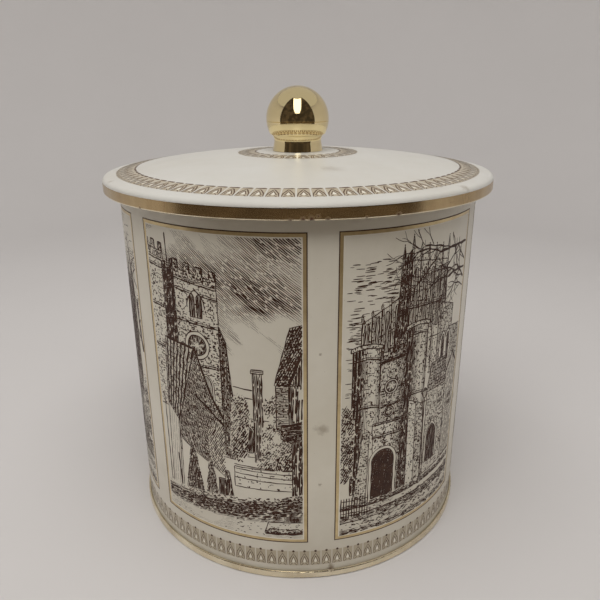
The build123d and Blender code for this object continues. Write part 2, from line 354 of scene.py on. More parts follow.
# ---- Line engraving: pictures in millimetres, x to the right and y up, built from the back to the front
class Plate:
    """One printed picture. Each block of it covers what lies behind: a fine grid holds the number of the
    block seen at every point, and a stroke shows only where nothing in front of its block hides it."""

    GRAIN = 0.125
    STEP = 0.25

    def __init__(self, width, height, margin=0.0, seed=1):
        self.width, self.height, self.margin = width, height, margin
        self.random = np.random.default_rng(seed)
        self.owner = np.zeros((round(height / self.GRAIN), round(width / self.GRAIN)), np.int16)
        self.number = 0
        self.edge = np.array(box(0, 0, width, height), float)
        self.batches = []

    def block(self, edge):
        """Puts a new block in front of everything so far; the strokes that follow belong to it."""
        self.edge = np.array(edge, float)
        self.number += 1
        rows, columns = self.owner.shape
        low = np.clip(np.floor(self.edge.min(axis=0) / self.GRAIN).astype(int), 0, [columns, rows])
        high = np.clip(np.ceil(self.edge.max(axis=0) / self.GRAIN).astype(int), 0, [columns, rows])
        y, x = np.mgrid[low[1] : high[1], low[0] : high[0]] * self.GRAIN + self.GRAIN / 2
        inside = np.zeros(x.shape, bool)
        for (x0, y0), (x1, y1) in zip(self.edge, np.roll(self.edge, -1, axis=0)):
            if y0 != y1:
                inside ^= ((y0 > y) != (y1 > y)) & (x < x0 + (y - y0) * (x1 - x0) / (y1 - y0))
        self.owner[low[1] : high[1], low[0] : high[0]][inside] = self.number

    def add(self, x, y, width, within, keep):
        """Stores strokes, one a row, as samples in order. Strokes within a block stop at its edge."""
        stroke = np.repeat(np.arange(x.shape[0]), x.shape[1])
        width = np.broadcast_to(width, x.shape)
        self.batches.append((x.ravel(), y.ravel(), width.ravel(), stroke, self.number, within, keep))

    def line(self, points, width, wobble=0.06, step=STEP):
        """A hand-drawn line through points."""
        points = np.array(points, float)
        lengths = np.concatenate([[0], np.cumsum(np.linalg.norm(np.diff(points, axis=0), axis=1))])
        s = np.linspace(0, lengths[-1], max(3, round(lengths[-1] / step)))
        x, y = (np.interp(s, lengths, points[:, k]) for k in (0, 1))
        phase = self.random.uniform(0, 6.28, 3)
        x = x + wobble * np.sin(0.9 * s + phase[0])
        y = y + wobble * np.sin(1.1 * s + phase[1])
        width = width * (1 + 0.22 * np.sin(0.8 * s + phase[2])) if wobble else width + 0 * s
        self.add(x[None], y[None], width[None], False, 3 if wobble else 4)

    def outline(self, width):
        self.line(np.concatenate([self.edge, self.edge[:1]]), width)

    def hatch(self, angle, spacing, tone, wobble=0.05, broken=0.0):
        """Parallel strokes across the block just begun, as wide as its tone (0 to 1) asks at each point."""
        low, high = self.edge.min(axis=0), self.edge.max(axis=0)
        middle, reach = (low + high) / 2, np.linalg.norm(high - low) / 2
        t = np.arange(-reach, reach, spacing)
        t = t + self.random.uniform(-0.14, 0.14, len(t)) * spacing
        phase = self.random.uniform(0, 6.28, (len(t), 1))
        s, t = np.meshgrid(np.arange(-reach, reach, self.STEP), t)
        t = t + wobble * (np.sin(0.55 * s + phase) + 0.6 * np.sin(1.7 * s + 2.3 * phase))
        turn = math.radians(angle)
        x = middle[0] + s * math.cos(turn) - t * math.sin(turn)
        y = middle[1] + s * math.sin(turn) + t * math.cos(turn)
        dark = tone(x, y) if callable(tone) else np.full(x.shape, tone)
        dark = dark * (1 + 0.22 * np.sin(0.9 * s + 3.1 * phase))
        gaps = (np.sin(1.3 * s + 5 * phase) + np.sin(2.9 * s + 11 * phase)) / 2 > 1 - 2 * broken
        self.add(x, y, np.where(gaps | (dark < 0.07), 0, np.clip(dark, 0, 1.15) * spacing), True, 4)

    def flecks(self, count, length, width, angle, spread, tone):
        """Short strokes scattered over the block just begun, closer where its tone is darker."""
        low, high = self.edge.min(axis=0), self.edge.max(axis=0)
        x, y = self.random.uniform(low, high, (count, 2)).T
        kept = self.random.random(count) < (tone(x, y) if callable(tone) else tone)
        x, y = x[kept], y[kept]
        turn = math.radians(angle) + self.random.normal(0, spread, len(x))
        half = length / 2 * self.random.uniform(0.5, 1.4, len(x))
        share = np.array([-1, 0, 1])
        bow = self.random.normal(0, 0.12, len(x))[:, None] * length * (1 - share**2)
        xs = x[:, None] + (half * np.cos(turn))[:, None] * share - bow * np.sin(turn)[:, None]
        ys = y[:, None] + (half * np.sin(turn))[:, None] * share + bow * np.cos(turn)[:, None]
        widths = width * self.random.uniform(0.6, 1.3, len(x))[:, None] * np.array([0.6, 1.2, 0.6])
        self.add(xs, ys, widths, True, 1)

    def dabs(self, face, u, v, du, dv, width):
        """Straight short strokes laid on a face, each from (u, v) along (du, dv)."""
        share = np.array([0, 0.5, 1])
        points = face.at(u[:, None] + du[:, None] * share, v[:, None] + dv[:, None] * share)
        widths = width * self.random.uniform(0.6, 1.35, len(u))[:, None] * np.array([0.8, 1.15, 0.8])
        self.add(points[..., 0], points[..., 1], widths, True, 1)

    def dot(self, x, y, radius):
        share = np.linspace(-1, 1, 7)
        width = 2 * radius * np.sqrt(1 - share**2) + 0.01
        self.add((x + radius * share)[None], (y + 0 * share)[None], width, False, 1)

    def ribbons(self):
        """The seen strokes as flat quads: their points (x, y) and the corner numbers of each quad."""
        points, faces, offset = [], [], 0
        rows, columns = self.owner.shape
        for x, y, width, stroke, number, within, keep in self.batches:
            row = np.clip((y / self.GRAIN).astype(int), 0, rows - 1)
            column = np.clip((x / self.GRAIN).astype(int), 0, columns - 1)
            owner = self.owner[row, column]
            seen = (owner == number) if within else (owner <= number)
            seen &= (x > self.margin) & (x < self.width - self.margin) & (width > 0)
            seen &= (y > self.margin) & (y < self.height - self.margin)
            same = stroke[1:] == stroke[:-1]
            joined = np.concatenate([[False], seen[1:] & seen[:-1] & same, [False]])
            starts, ends = seen & ~joined[:-1], seen & ~joined[1:]
            alone = starts & ends
            kept = seen & ~alone & (starts | ends | (np.arange(len(x)) % keep == 0))
            if not kept.any():
                continue
            path, w = np.stack([x[kept], y[kept]], axis=1), width[kept]
            starts, ends = starts[kept], ends[kept]
            if keep > 1:
                w = np.where(starts | ends, 0.5 * w, w)
            ahead = np.where(ends[:, None], path, np.roll(path, -1, axis=0))
            behind = np.where(starts[:, None], path, np.roll(path, 1, axis=0))
            way = ahead - behind
            way = way / np.maximum(np.linalg.norm(way, axis=1), 1e-6)[:, None]
            side = np.stack([-way[:, 1], way[:, 0]], axis=1) * w[:, None] / 2
            first = np.flatnonzero(~ends)
            points.append(np.stack([path + side, path - side], axis=1).reshape(-1, 2))
            faces.append(offset + np.stack([2 * first, 2 * first + 1, 2 * first + 3, 2 * first + 2], axis=1))
            offset += 2 * len(path)
        return np.concatenate(points), np.concatenate(faces)


class Face:
    """A four-cornered part of a picture: u runs along it, v up it, and sag bends its courses as on a drum."""

    def __init__(self, low_left, low_right, high_right, high_left, sag=0.0):
        self.corners = np.array([low_left, low_right, high_right, high_left], float)
        self.sag = sag

    def at(self, u, v):
        u, v = np.broadcast_arrays(np.asarray(u, float)[..., None], np.asarray(v, float)[..., None])
        a, b, c, d = self.corners
        point = (1 - v) * ((1 - u) * a + u * b) + v * ((1 - u) * d + u * c)
        point[..., 1] -= self.sag * (1 - (2 * u[..., 0] - 1) ** 2)
        return point

    def size(self):
        a, b, c, d = self.corners
        wide = (np.linalg.norm(b - a) + np.linalg.norm(c - d)) / 2
        tall = (np.linalg.norm(d - a) + np.linalg.norm(c - b)) / 2
        return wide, tall

    def level(self, v):
        return self.at(np.linspace(0.0, 1.0, 11), v)

    def outline(self):
        return np.concatenate([self.level(0), self.level(1)[::-1]])


def box(left, low, right, high):
    """The corners of an upright rectangle."""
    return [(left, low), (right, low), (right, high), (left, high)]


def wall(x, y, wide, tall, drop=0.0, sag=0.0):
    """A face with upright sides; drop lowers its far top corner, as a receding wall is drawn."""
    return Face((x, y), (x + wide, y + drop * 0.3), (x + wide, y + tall - drop), (x, y + tall), sag)


def smooth_field(random, scale, tilt, stretch):
    """A smooth random function of x and y, roughly -1 to 1, with patches of about scale millimetres."""
    turn, phase = random.uniform(0, 6.28, (2, 12))
    rate = 6.28 / scale * random.uniform(0.4, 1.5, 12)
    lean = math.radians(tilt)

    def value(x, y):
        along, across = x * math.cos(lean) + y * math.sin(lean), y * math.cos(lean) - x * math.sin(lean)
        waves = (
            np.cos(r * (along / stretch * math.cos(a) + across * math.sin(a)) + b)
            for r, a, b in zip(rate, turn, phase)
        )
        return sum(waves) / 3.5

    return value


def masonry(p, face, course=1.3, stone=2.1, tone=0.5, width=0.32, grit=1.3):
    """Broken bed joints, short upright joints, dark stones and grit over the block just begun."""
    wide, tall = face.size()
    rows, columns = max(2, round(tall / course)), max(2, round(wide / stone))
    r, c = np.meshgrid(np.arange(rows + 3), np.arange(columns + 1), indexing="ij")
    u = (c - 0.5 * (r % 2) + p.random.uniform(-0.25, 0.25, r.shape)).ravel() / columns
    v = (r + p.random.uniform(-0.15, 0.15, r.shape)).ravel() / rows
    beds = p.random.uniform(0.25, 0.95, u.shape) / columns
    joints = p.random.uniform(0.4, 0.95, u.shape) / rows
    darks = p.random.uniform(0.15, 0.5, u.shape) / columns
    nothing = np.zeros(u.shape)
    for share, du, dv, thick, raised in (
        (1.1 * tone, beds, nothing, width, 0.0),
        (0.95 * tone, nothing, joints, width, 0.0),
        (0.45 * tone, darks, nothing + 0.3 / rows, 1.9 * width, 0.35 / rows),
    ):
        kept = p.random.random(u.shape) < share
        p.dabs(face, u[kept], v[kept] + raised, du[kept], dv[kept], thick)
    p.flecks(int(grit * wide * tall), 0.62, 0.36, 70, 0.8, tone)


def slab(p, face, tone, angle, spacing=0.62, edge=0.34, stones=0.0):
    """A face closed by an outline and shaded by hatching."""
    p.block(face.outline())
    if tone:
        p.hatch(angle, spacing, tone, broken=0.06)
    if stones:
        masonry(p, face, tone=stones)
    p.outline(edge)


def moulding(p, face, *levels):
    """String courses: each a dark under-edge, a light band and a thin top line."""
    thick = 0.8
    for v in levels:
        low = face.level(v)
        p.line(low, 0.5)
        p.line(low + [0, thick], 0.26)
        for a, b in zip(low[::2], (low + [0, 0.55 * thick])[1::2]):
            p.line([a, b], 0.22, 0.0)


def crenels(p, face, merlons, rise, tone, dark=0.0):
    """A wall with battlements along its top."""
    top = rise / face.size()[1]
    cuts = 2 * merlons - 1
    edges = [face.at(0.0, 0.0), face.at(0.0, 1.0)]
    for k in range(cuts):
        v = 1 + top * (k % 2 == 0)
        edges += [face.at(k / cuts, v), face.at((k + 1) / cuts, v)]
    edges += [face.at(1.0, 1.0), face.at(1.0, 0.0)]
    p.block(edges)
    if dark:
        p.hatch(82, 0.7, dark, broken=0.08)
    masonry(p, face, tone=tone)
    low, high = 1 - 0.7 * top, 1 + top
    head = Face(face.at(0, low), face.at(1, low), face.at(1, high), face.at(0, high))
    masonry(p, head, 1.1, 1.5, 0.8, 0.4, 0.0)
    for k in range(0, cuts, 2):
        p.line([face.at((k + 0.86) / cuts, 1 + 0.9 * top), face.at((k + 0.86) / cuts, 1.0)], 0.5)
        p.line([face.at(k / cuts, 1 + top), face.at((k + 1) / cuts, 1 + top)], 0.6)
    p.outline(0.42)
    moulding(p, face, 1 - 1.1 * top)


def arch(x, y, wide, tall, pointed=True):
    """The outline of an arched opening, from its lower left corner; x is its middle."""
    half, steps = wide / 2, 9
    if pointed:
        turn = np.linspace(0, math.radians(60), steps)
        curve = np.stack([half - wide * (1 - np.cos(turn)), wide * np.sin(turn)], axis=1)
    else:
        turn = np.linspace(0, math.pi / 2, steps)
        curve = np.stack([half * np.cos(turn), half * np.sin(turn)], axis=1)
    curve = np.concatenate([curve, curve[::-1] * [-1, 1]])
    spring = tall - curve[:, 1].max()
    return np.concatenate([[(x - half, y)], [(x + half, y)], curve + [x, y + spring]])


def opening(p, x, y, wide, tall, pointed=True, tone=0.85, hood=0.9):
    """An arched opening: a light surround with a hood line, and a dark inside."""
    if hood:
        p.block(arch(x, y, wide + 2 * hood, tall + hood, pointed))
        p.outline(0.28)
    p.block(arch(x, y, wide, tall, pointed))
    p.hatch(84, 0.5, tone)
    p.outline(0.42)


def lancets(p, x, y, wide, tall, count=2):
    """Narrow pointed lights side by side under one dark hood."""
    pitch = wide / count
    p.block(arch(x, y - 0.4, wide + 1.6, tall + 1.8))
    p.flecks(int(12 * wide), 0.8, 0.3, 20, 0.6, 0.8)
    p.line(arch(x, y, wide + 1.6, tall + 1.4)[2:], 0.5)
    for k in range(count):
        opening(p, x + (k - (count - 1) / 2) * pitch, y, 0.72 * pitch, tall, hood=0.0)


def rose(p, x, y, radius, petals=8):
    """A round window: two rings and dark petals between light ribs."""
    turn = np.linspace(0, 2 * math.pi, 25)[:-1]
    circle = np.stack([np.cos(turn), np.sin(turn)], axis=1)
    p.block([x, y] + circle * radius * 1.38)
    p.outline(0.42)
    p.block([x, y] + circle * radius)
    p.hatch(70, 0.45, 0.92)
    p.outline(0.5)
    for k in range(petals // 2):
        a = math.pi * k / (petals // 2) + 0.2
        way = np.array([math.cos(a), math.sin(a)]) * 0.8 * radius
        side = np.array([-math.sin(a), math.cos(a)]) * 0.11
        p.block([[x, y] + way + side, [x, y] - way + side, [x, y] - way - side, [x, y] + way - side])


def tiles(p, face, course, tone, dark):
    """A tiled slope: courses of short dark strokes over light shading."""
    p.block(face.outline())
    p.hatch(62, 0.8, dark, broken=0.1)
    wide, tall = face.size()
    rows, columns = max(2, round(tall / course)), max(2, round(wide / 1.1))
    r, c = np.meshgrid(np.arange(rows + 1), np.arange(columns), indexing="ij")
    u, v = (c + 0.5 * (r % 2)).ravel() / columns, r.ravel() / rows
    kept = p.random.random(u.shape) < tone
    u, v = u[kept], v[kept] + p.random.normal(0, 0.08, kept.sum()) / rows
    p.dabs(face, u, v, np.full(u.shape, 0.8 / columns), 0 * u, 0.42)
    p.dabs(face, u, v, 0 * u, np.full(u.shape, 0.75 / rows), 0.24)
    p.outline(0.36)


def blob(p, x, y, rx, ry):
    """A leafy outline."""
    bumps = 11
    turn = np.linspace(0, 2 * math.pi, 6 * bumps + 1)[:-1]
    waves = np.abs(np.sin(bumps / 2 * turn + p.random.uniform(0, 3)))
    lobes = 1 + 0.14 * waves + p.random.normal(0, 0.03, len(turn))
    return np.stack([x + rx * lobes * np.cos(turn), y + ry * lobes * np.sin(turn)], axis=1)


def foliage(p, x, y, rx, ry, tone):
    """A clump of leaves, darker low down and to the right."""
    p.block(blob(p, x, y, rx, ry))

    def shade(px, py):
        lit = 0.6 * (px - x) / rx - 0.8 * (py - y) / ry
        return np.clip(tone + 0.38 * lit, 0.12, 1.0)

    p.flecks(int(2.6 * rx * ry * 4), 0.9, 0.36, 35, 1.1, shade)
    p.hatch(58, 0.8, lambda px, py: np.clip(shade(px, py) - 0.45, 0, 0.7), broken=0.2)


def bushes(p, rise, tone, places):
    """Clumps of leaves at places (x, y, half their width), rise times as tall as wide."""
    for x, y, size in places:
        foliage(p, x, y, size, rise * size, tone)


def tree(p, x, y, tall, spread, tone, trunk):
    """A round-headed tree in several clumps."""
    p.line([(x, y), (x + 0.2, y + 0.5 * tall)], trunk)
    clumps = ((-0.45, 0.5, 0.5), (0.45, 0.52, 0.5), (0.0, 0.62, 0.62), (-0.3, 0.8, 0.42), (0.25, 0.82, 0.4))
    for dx, dy, size in clumps:
        foliage(p, x + dx * spread, y + dy * tall, size * spread, 0.36 * size * tall + 0.3, tone)


def conifer(p, x, y, wide, tall, tone):
    """A clipped, pointed tree."""
    steps = np.linspace(0, 1, 12)
    half = wide / 2 * (1 - steps) ** 0.85
    jag = p.random.normal(0, 0.16, 12)
    left = np.stack([x - half + jag, y + tall * steps], axis=1)
    right = np.stack([x + half + jag[::-1], y + tall * steps], axis=1)
    p.block(np.concatenate([left, right[::-1]]))
    p.hatch(76, 0.6, lambda px, py: np.clip(tone + 0.25 * (px - x) / wide, 0, 0.95), broken=0.07)
    p.hatch(104, 0.8, 0.42, broken=0.2)


def branch(p, x, y, angle, length, width, depth):
    """A bare bough that bends, tapers and forks."""
    bend = p.random.uniform(-0.9, 0.9)
    share = np.linspace(0, 1, 8)
    turn = math.radians(angle) + bend * share
    xs = x + np.concatenate([[0], np.cumsum(np.cos(turn[1:]))]) * length / 7
    ys = y + np.concatenate([[0], np.cumsum(np.sin(turn[1:]))]) * length / 7
    p.line(np.stack([xs, ys], axis=1), max(width, 0.2), 0.12)
    if not depth:
        return
    for k, side in ((3, 1), (5, -1), (7, 1), (7, -1)):
        fork = math.degrees(turn[k]) + side * p.random.uniform(18, 48)
        branch(p, xs[k], ys[k], fork, length * p.random.uniform(0.45, 0.7), width * 0.58, depth - 1)


def gable(p, x, y, wide, tall, pitch, timber=True, tone=0.12):
    """The gabled front of a house, timber framed or plain."""
    peak = y + tall + pitch * wide / 2
    p.block([(x, y), (x + wide, y), (x + wide, y + tall), (x + wide / 2, peak), (x, y + tall)])
    if tone:
        p.hatch(86, 0.8, tone, broken=0.15)
    p.flecks(int(wide * tall), 0.7, 0.24, 5, 0.7, 0.35)
    p.outline(0.4)
    for eave in (x - 0.7, x + wide + 0.7):
        p.line([(eave, y + tall - 0.8), (x + wide / 2, peak)], 0.9)
    if timber:
        for v in (0.0, 0.5, 1.0):
            p.line([(x, y + v * tall), (x + wide, y + v * tall)], 0.55)
        for u in np.linspace(0, 1, max(3, round(wide / 2.2) + 1)):
            p.line([(x + u * wide, y), (x + u * wide, y + tall)], 0.45)
        for u in (0.25, 0.5, 0.75):
            rise = 0.8 * (0.5 - abs(u - 0.5)) * pitch * wide
            p.line([(x + u * wide, y + tall), (x + u * wide, y + tall + rise)], 0.4)


def panes(p, x, y, wide, tall, columns=2, rows=2):
    """A dark window with light glazing bars."""
    p.block(box(x - 0.4, y - 0.4, x + wide + 0.4, y + tall + 0.4))
    p.outline(0.26)
    for i in range(columns):
        for j in range(rows):
            w, h = wide / columns, tall / rows
            p.block(wall(x + i * w + 0.1, y + j * h + 0.1, w - 0.22, h - 0.22).outline())
            p.hatch(75, 0.42, 0.9)


def chimney(p, x, y, wide, tall):
    slab(p, wall(x, y, wide, tall), 0.3, 80, 0.6, 0.32)
    slab(p, wall(x - 0.35, y + tall, wide + 0.7, 0.9), 0.6, 10, 0.4, 0.36)


def lamp_post(p, x, y, tall):
    """A cast street lamp: base, post, ladder bar and a four-sided lantern."""
    slab(p, Face((x - 0.9, y), (x + 0.9, y), (x + 0.5, y + 3), (x - 0.5, y + 3)), 0.85, 85, 0.4)
    p.line([(x, y + 3), (x, y + tall - 4.6)], 0.75, 0.02)
    p.line([(x - 1.6, y + tall - 6.2), (x + 1.6, y + tall - 6.2)], 0.4, 0.02)
    low, high = y + tall - 4.6, y + tall - 1.4
    slab(p, Face((x - 0.7, low), (x + 0.7, low), (x + 1.4, high), (x - 1.4, high)), 0.35, 88, 0.5, 0.45)
    p.block([(x - 1.6, high), (x + 1.6, high), (x, y + tall)])
    p.hatch(88, 0.4, 0.9)
    p.outline(0.4)


def railing(p, x0, x1, y, tall):
    for x in np.arange(x0, x1, 1.1):
        p.line([(x, y), (x + 0.05, y + tall)], 0.42)
    for level in (0.25, 0.85):
        p.line([(x0, y + level * tall), (x1, y + level * tall)], 0.34)


def pinnacle(p, x, y, wide, tall, tone=0.5):
    """A slender shaft with a pointed cap and a knop."""
    slab(p, wall(x - wide / 2, y, wide, 0.45 * tall), tone, 86, 0.5, 0.28)
    p.block([(x - 0.7 * wide, y + 0.45 * tall), (x + 0.7 * wide, y + 0.45 * tall), (x, y + tall)])
    p.hatch(86, 0.45, tone + 0.15)
    p.outline(0.28)
    p.dot(x, y + tall, 0.28)


def ribbed(p, face, ribs, tone, caps, dark=0.9):
    """A tall traceried wall: buttresses with dark returns, long lights between, pinnacles above."""
    p.block(face.outline())
    p.hatch(88, 0.62, tone, broken=0.08)
    masonry(p, face, 1.6, 1.3, 0.35, 0.26)
    for k in range(ribs + 1):
        u = k / ribs
        p.line([face.at(u, 0), face.at(u, 1)], 0.55)
        p.line([face.at(min(u + 0.22 / ribs, 1), 0), face.at(min(u + 0.22 / ribs, 1), 1)], 0.24)
    for v in (0.33, 0.66, 0.97):
        p.line(face.level(v), 0.36)
    wide = face.size()[0]
    for k in range(ribs):
        low, high = face.at((k + 0.6) / ribs, 0.42), face.at((k + 0.6) / ribs, 0.92)
        opening(p, low[0], low[1], 0.36 * wide / ribs, high[1] - low[1], True, dark, 0.0)
    for k in range(ribs + 1):
        foot = face.at(k / ribs, 1)
        pinnacle(p, foot[0], foot[1] - 0.4, 0.9, caps * (1.25 if k in (0, ribs) else 0.8), 0.6)


def turret(p, x, y, wide, tall, dark, tone, bands):
    """A round tower, lit from the right, with curved courses and a projecting rim."""
    face = wall(x, y, wide, tall, 0, -wide * 0.09)
    p.block(face.outline())
    p.hatch(89, 0.62, lambda px, py: np.clip(dark * (1.4 - 2.2 * (px - x) / wide), 0, 0.92), broken=0.05)
    p.hatch(89, 0.7, lambda px, py: np.clip(dark * (2.6 * (px - x) / wide - 2.05), 0, 0.6))
    masonry(p, face, tone=tone)
    p.outline(0.42)
    moulding(p, face, *bands)
    rim = wall(x - 0.8, y + tall - 0.8, wide + 1.6, 1.6, 0, -wide * 0.11)
    p.block(rim.outline())
    p.flecks(int(8 * wide), 0.8, 0.34, 88, 0.3, 0.7)
    p.outline(0.46)


def spire(p, x, y, wide, tall):
    """A tall pointed roof with a shaded right side, light bands and a ball on top."""
    for left, right, dark in ((x - wide / 2, x + 0.12 * wide, 0.28), (x + 0.12 * wide, x + wide / 2, 0.72)):
        p.block([(left, y), (right, y), (x, y + tall)])
        p.hatch(86 if dark < 0.5 else 94, 0.6, dark, broken=0.08)
        p.outline(0.32)
    for share in (0.25, 0.5, 0.72):
        half, level = wide / 2 * (1 - share), y + share * tall
        p.line([(x - half, level), (x + 0.24 * half, level - 0.4), (x + half, level)], 0.4)
    p.line([(x, y + tall), (x, y + tall + 1.6)], 0.3)
    p.dot(x, y + tall + 1.8, 0.4)


def ground(p, y, dark_bands, tone, slope=0.0):
    """The foreground: a light street with level strokes and dark bands at shares of its height."""
    p.block([(0, 0), (p.width, 0), (p.width, y + slope), (0, y)])
    patches = smooth_field(p.random, 9.0, 0, 3.0)

    def shade(px, py):
        share = py / (y + slope * px / p.width)
        dark = tone * (patches(px, py) > 0.25) * 0.9
        for middle, half, strength in dark_bands:
            dark = np.maximum(dark, strength * np.clip(1.4 - ((share - middle) / half) ** 2, 0, 1))
        return dark

    lean = math.degrees(math.atan2(slope, p.width))
    p.hatch(lean, 0.62, shade, 0.1, 0.16)
    p.flecks(900, 1.0, 0.3, lean, 0.25, lambda px, py: np.clip(shade(px, py) + 0.05, 0, 1))


def paving(p, x, y, wide, tall):
    """A worn stone slab in the foreground."""
    p.block([(x, y), (x + wide, y + 0.4), (x + wide - 0.8, y + tall), (x + 1.4, y + tall - 0.3)])
    p.flecks(int(6 * wide), 0.8, 0.24, 5, 0.6, 0.5)
    p.outline(0.42)
    p.line([(x, y - 0.3), (x + wide, y + 0.1)], 0.8, 0.12)


def sky(p, angle, spacing, tone):
    """Hatching behind everything; tone gives its darkness."""
    p.block(box(0, 0, p.width, p.height))
    p.hatch(angle, spacing, tone, 0.07, 0.05)


def dashes(p, x0, x1, y0, y1, count, length):
    """Level dashes of a quiet sky."""
    for _ in range(count):
        x, y = p.random.uniform(x0, x1), p.random.uniform(y0, y1)
        size = length * p.random.uniform(0.4, 1.2)
        p.line([(x, y), (x + size, y + p.random.uniform(-0.15, 0.15))], 0.3, 0.05)


def cloud_tone(p, base, swing, scale=26.0, tilt=-38.0, clear=()):
    """Darkness of a hatched, cloudy sky, with clear places given as (x, y, rx, ry)."""
    large, small = smooth_field(p.random, scale, tilt, 2.2), smooth_field(p.random, scale / 5, tilt, 3.0)

    def tone(x, y):
        dark = base + swing * large(x, y) + 0.45 * swing * small(x, y)
        for cx, cy, rx, ry in clear:
            dark = dark - 0.6 * np.exp(-(((x - cx) / rx) ** 2) - ((y - cy) / ry) ** 2)
        return np.clip(dark, 0.0, 0.75)

    return tone


def lane_shade(x, y):
    """The shade across a lane, darkest along a rising line and fading out at its left end."""
    return np.clip(1.25 - np.abs(y - 10.0 - 0.14 * x) / 4.4, 0, 1) * np.clip((x - 6) / 16, 0, 1)


def church_street(p):
    """A battlemented tower over a lean-to, a lane with trees and a timbered house at the right."""
    sky(p, -40, 0.68, cloud_tone(p, 0.34, 0.22, clear=((45, 68, 13, 17), (58, 92, 9, 5), (8, 118, 9, 4))))
    p.block([(0, 0), (p.width, 0), (p.width, 56), (0, 62)])
    back = wall(0, 50, 10.6, 65, 1.5)
    crenels(p, back, 3, 3.2, 0.5)
    moulding(p, back, 0.40, 0.66, 0.90)
    p.line([(13.4, 100), (12.6, 121)], 0.55, 0.02)
    side = Face((9.8, 50), (16.0, 50), (15.8, 109), (10.0, 107))
    front = Face((15.8, 50), (34.8, 52), (34.4, 106), (15.8, 109))
    crenels(p, side, 2, 3.0, 0.9, 0.95)
    crenels(p, front, 4, 3.2, 0.52)
    for v in (0.38, 0.67, 0.87):
        moulding(p, front, v)
        moulding(p, side, v)
    lancets(p, 25.4, 91.5, 6.2, 9.0)
    rose(p, 24.8, 80.6, 4.0)
    opening(p, 28.0, 52, 5.0, 17, True, 0.35, 0.9)
    slab(p, Face((34.4, 36), (41.0, 36), (37.0, 84), (34.4, 90)), 0.62, 86, 0.6, 0.36, 0.8)
    slab(p, wall(38, 38, 24, 17, 1.5), 0.0, 0, stones=0.22)
    for y in (67, 63.5):
        p.line([(39, y), (48, y - 1.0)], 0.45)
    opening(p, 44.5, 40, 3.4, 11)
    slab(p, wall(46.6, 36, 3.4, 37), 0.72, 88, 0.55, 0.4)
    slab(p, wall(46.0, 73, 4.6, 1.6), 0.5, 0)
    chimney(p, 58.0, 44, 2.4, 12)
    bushes(p, 1.35, 0.82, ((54, 60, 3.6), (57, 52, 4.6), (53.5, 48, 3.8), (58, 44, 4.4), (52.5, 41, 3.4)))
    foliage(p, 41.4, 56, 3.4, 8.0, 0.9)
    foliage(p, 40.6, 45, 3.4, 9.0, 0.98)
    foliage(p, 51.0, 35, 3.4, 4.0, 0.95)
    foliage(p, 57, 38, 4.0, 8.0, 0.85)
    slab(p, wall(38, 24, 25, 9.0), 0.0, 0, stones=0.12)
    for y in (33.4, 31.6, 29.6, 27.6):
        p.line([(38, y + 0.6), (63, y - 0.4)], 0.36)
    conifer(p, 55.4, 33, 2.6, 8.0, 0.9)
    roof = Face((6.4, 52), (15.0, 42), (23.4, 79), (8.2, 80.5))
    tiles(p, roof, 2.0, 0.7, 0.16)
    for u in np.linspace(0.08, 0.96, 8):
        p.line(roof.at(np.full(9, u), np.linspace(0, 1, 9)), 0.75, 0.16)
    p.line(roof.level(1.0), 0.9)
    p.block([(23.2, 79), (14.2, 50), (11.4, 33), (33.0, 24), (34.6, 52), (29.6, 61)])
    p.hatch(-28, 0.6, 0.52, broken=0.1)
    p.hatch(70, 0.8, 0.42, broken=0.25)
    p.flecks(700, 0.9, 0.4, -30, 0.4, 0.7)
    p.outline(0.5)
    p.line([(23.2, 79.6), (29.8, 61.0), (34.8, 52.2)], 0.9)
    p.block([(27.4, 46), (34.4, 50), (34.4, 22), (28.0, 25)])
    p.hatch(60, 0.62, 0.6, broken=0.1)
    p.line([(22.0, 60), (27, 56.5), (34.6, 49.6)], 0.9)
    p.block([(12.0, 6), (36, 10), (36, 25), (30, 30), (13.0, 38)])
    p.outline(0.3)
    slab(p, Face((5.4, 7), (11.0, 6), (12.4, 46), (6.6, 52)), 0.10, 86, 1.2, 0.36)
    p.line([(11.4, 7), (10.4, 30)], 0.7)
    p.line([(4.4, 7), (4.2, 56)], 0.5)
    slab(p, wall(31.0, 10, 3.6, 16), 0.95, 87, 0.5, 0.4)
    slab(p, Face((34.0, 9), (38.2, 9), (35.8, 30), (34.0, 30)), 0.95, 84, 0.5, 0.3)
    conifer(p, 19.0, 8.6, 12.5, 31.0, 0.78)
    conifer(p, 27.6, 9.0, 8.6, 26.5, 0.66)
    tiles(p, Face((54.4, 69), (68, 69.5), (68, 93), (60.2, 91)), 1.15, 0.95, 0.5)
    p.flecks(900, 0.8, 0.45, 60, 0.5, 0.7)
    p.block([(60.4, 68.5), (68, 68.5), (68, 87), (64.8, 81)])
    p.hatch(88, 0.5, 0.95)
    p.line([(59.2, 68), (64.4, 82), (68, 87)], 0.9)
    slab(p, wall(55.0, 51, 5.2, 18), 0.40, 4, 0.62, 0.42, 0.7)
    slab(p, wall(59.6, 51, 9, 18), 0.95, 88, 0.55, 0.46)
    for x in (61.4, 63.4):
        p.block(wall(x, 54, 0.45, 14).outline())
    slab(p, Face((56.6, 47), (68, 42), (68, 55), (56.6, 52.5)), 0.85, 12, 0.5, 0.45, 0.8)
    slab(p, wall(60.6, 8, 3.6, 38), 0.98, 88, 0.55, 0.42)
    p.block(wall(62.4, 10, 0.4, 33).outline())
    ground(p, 13.5, ((0.68, 0.22, 0.8),), 0.10, 9.0)
    p.flecks(2600, 1.2, 0.4, 8, 0.35, lane_shade)
    slab(p, wall(58.0, 8.6, 5.4, 3.6), 0.95, 88, 0.5, 0.3)
    paving(p, 49.5, 4.0, 16, 5.6)
    p.flecks(200, 1.2, 0.4, 5, 0.4, lambda x, y: y < 6.4)
    p.block([(36, 2), (49.5, 3.0), (47.5, 8.5), (38, 7.5)])
    p.flecks(40, 0.8, 0.3, 4, 0.1, 0.7)


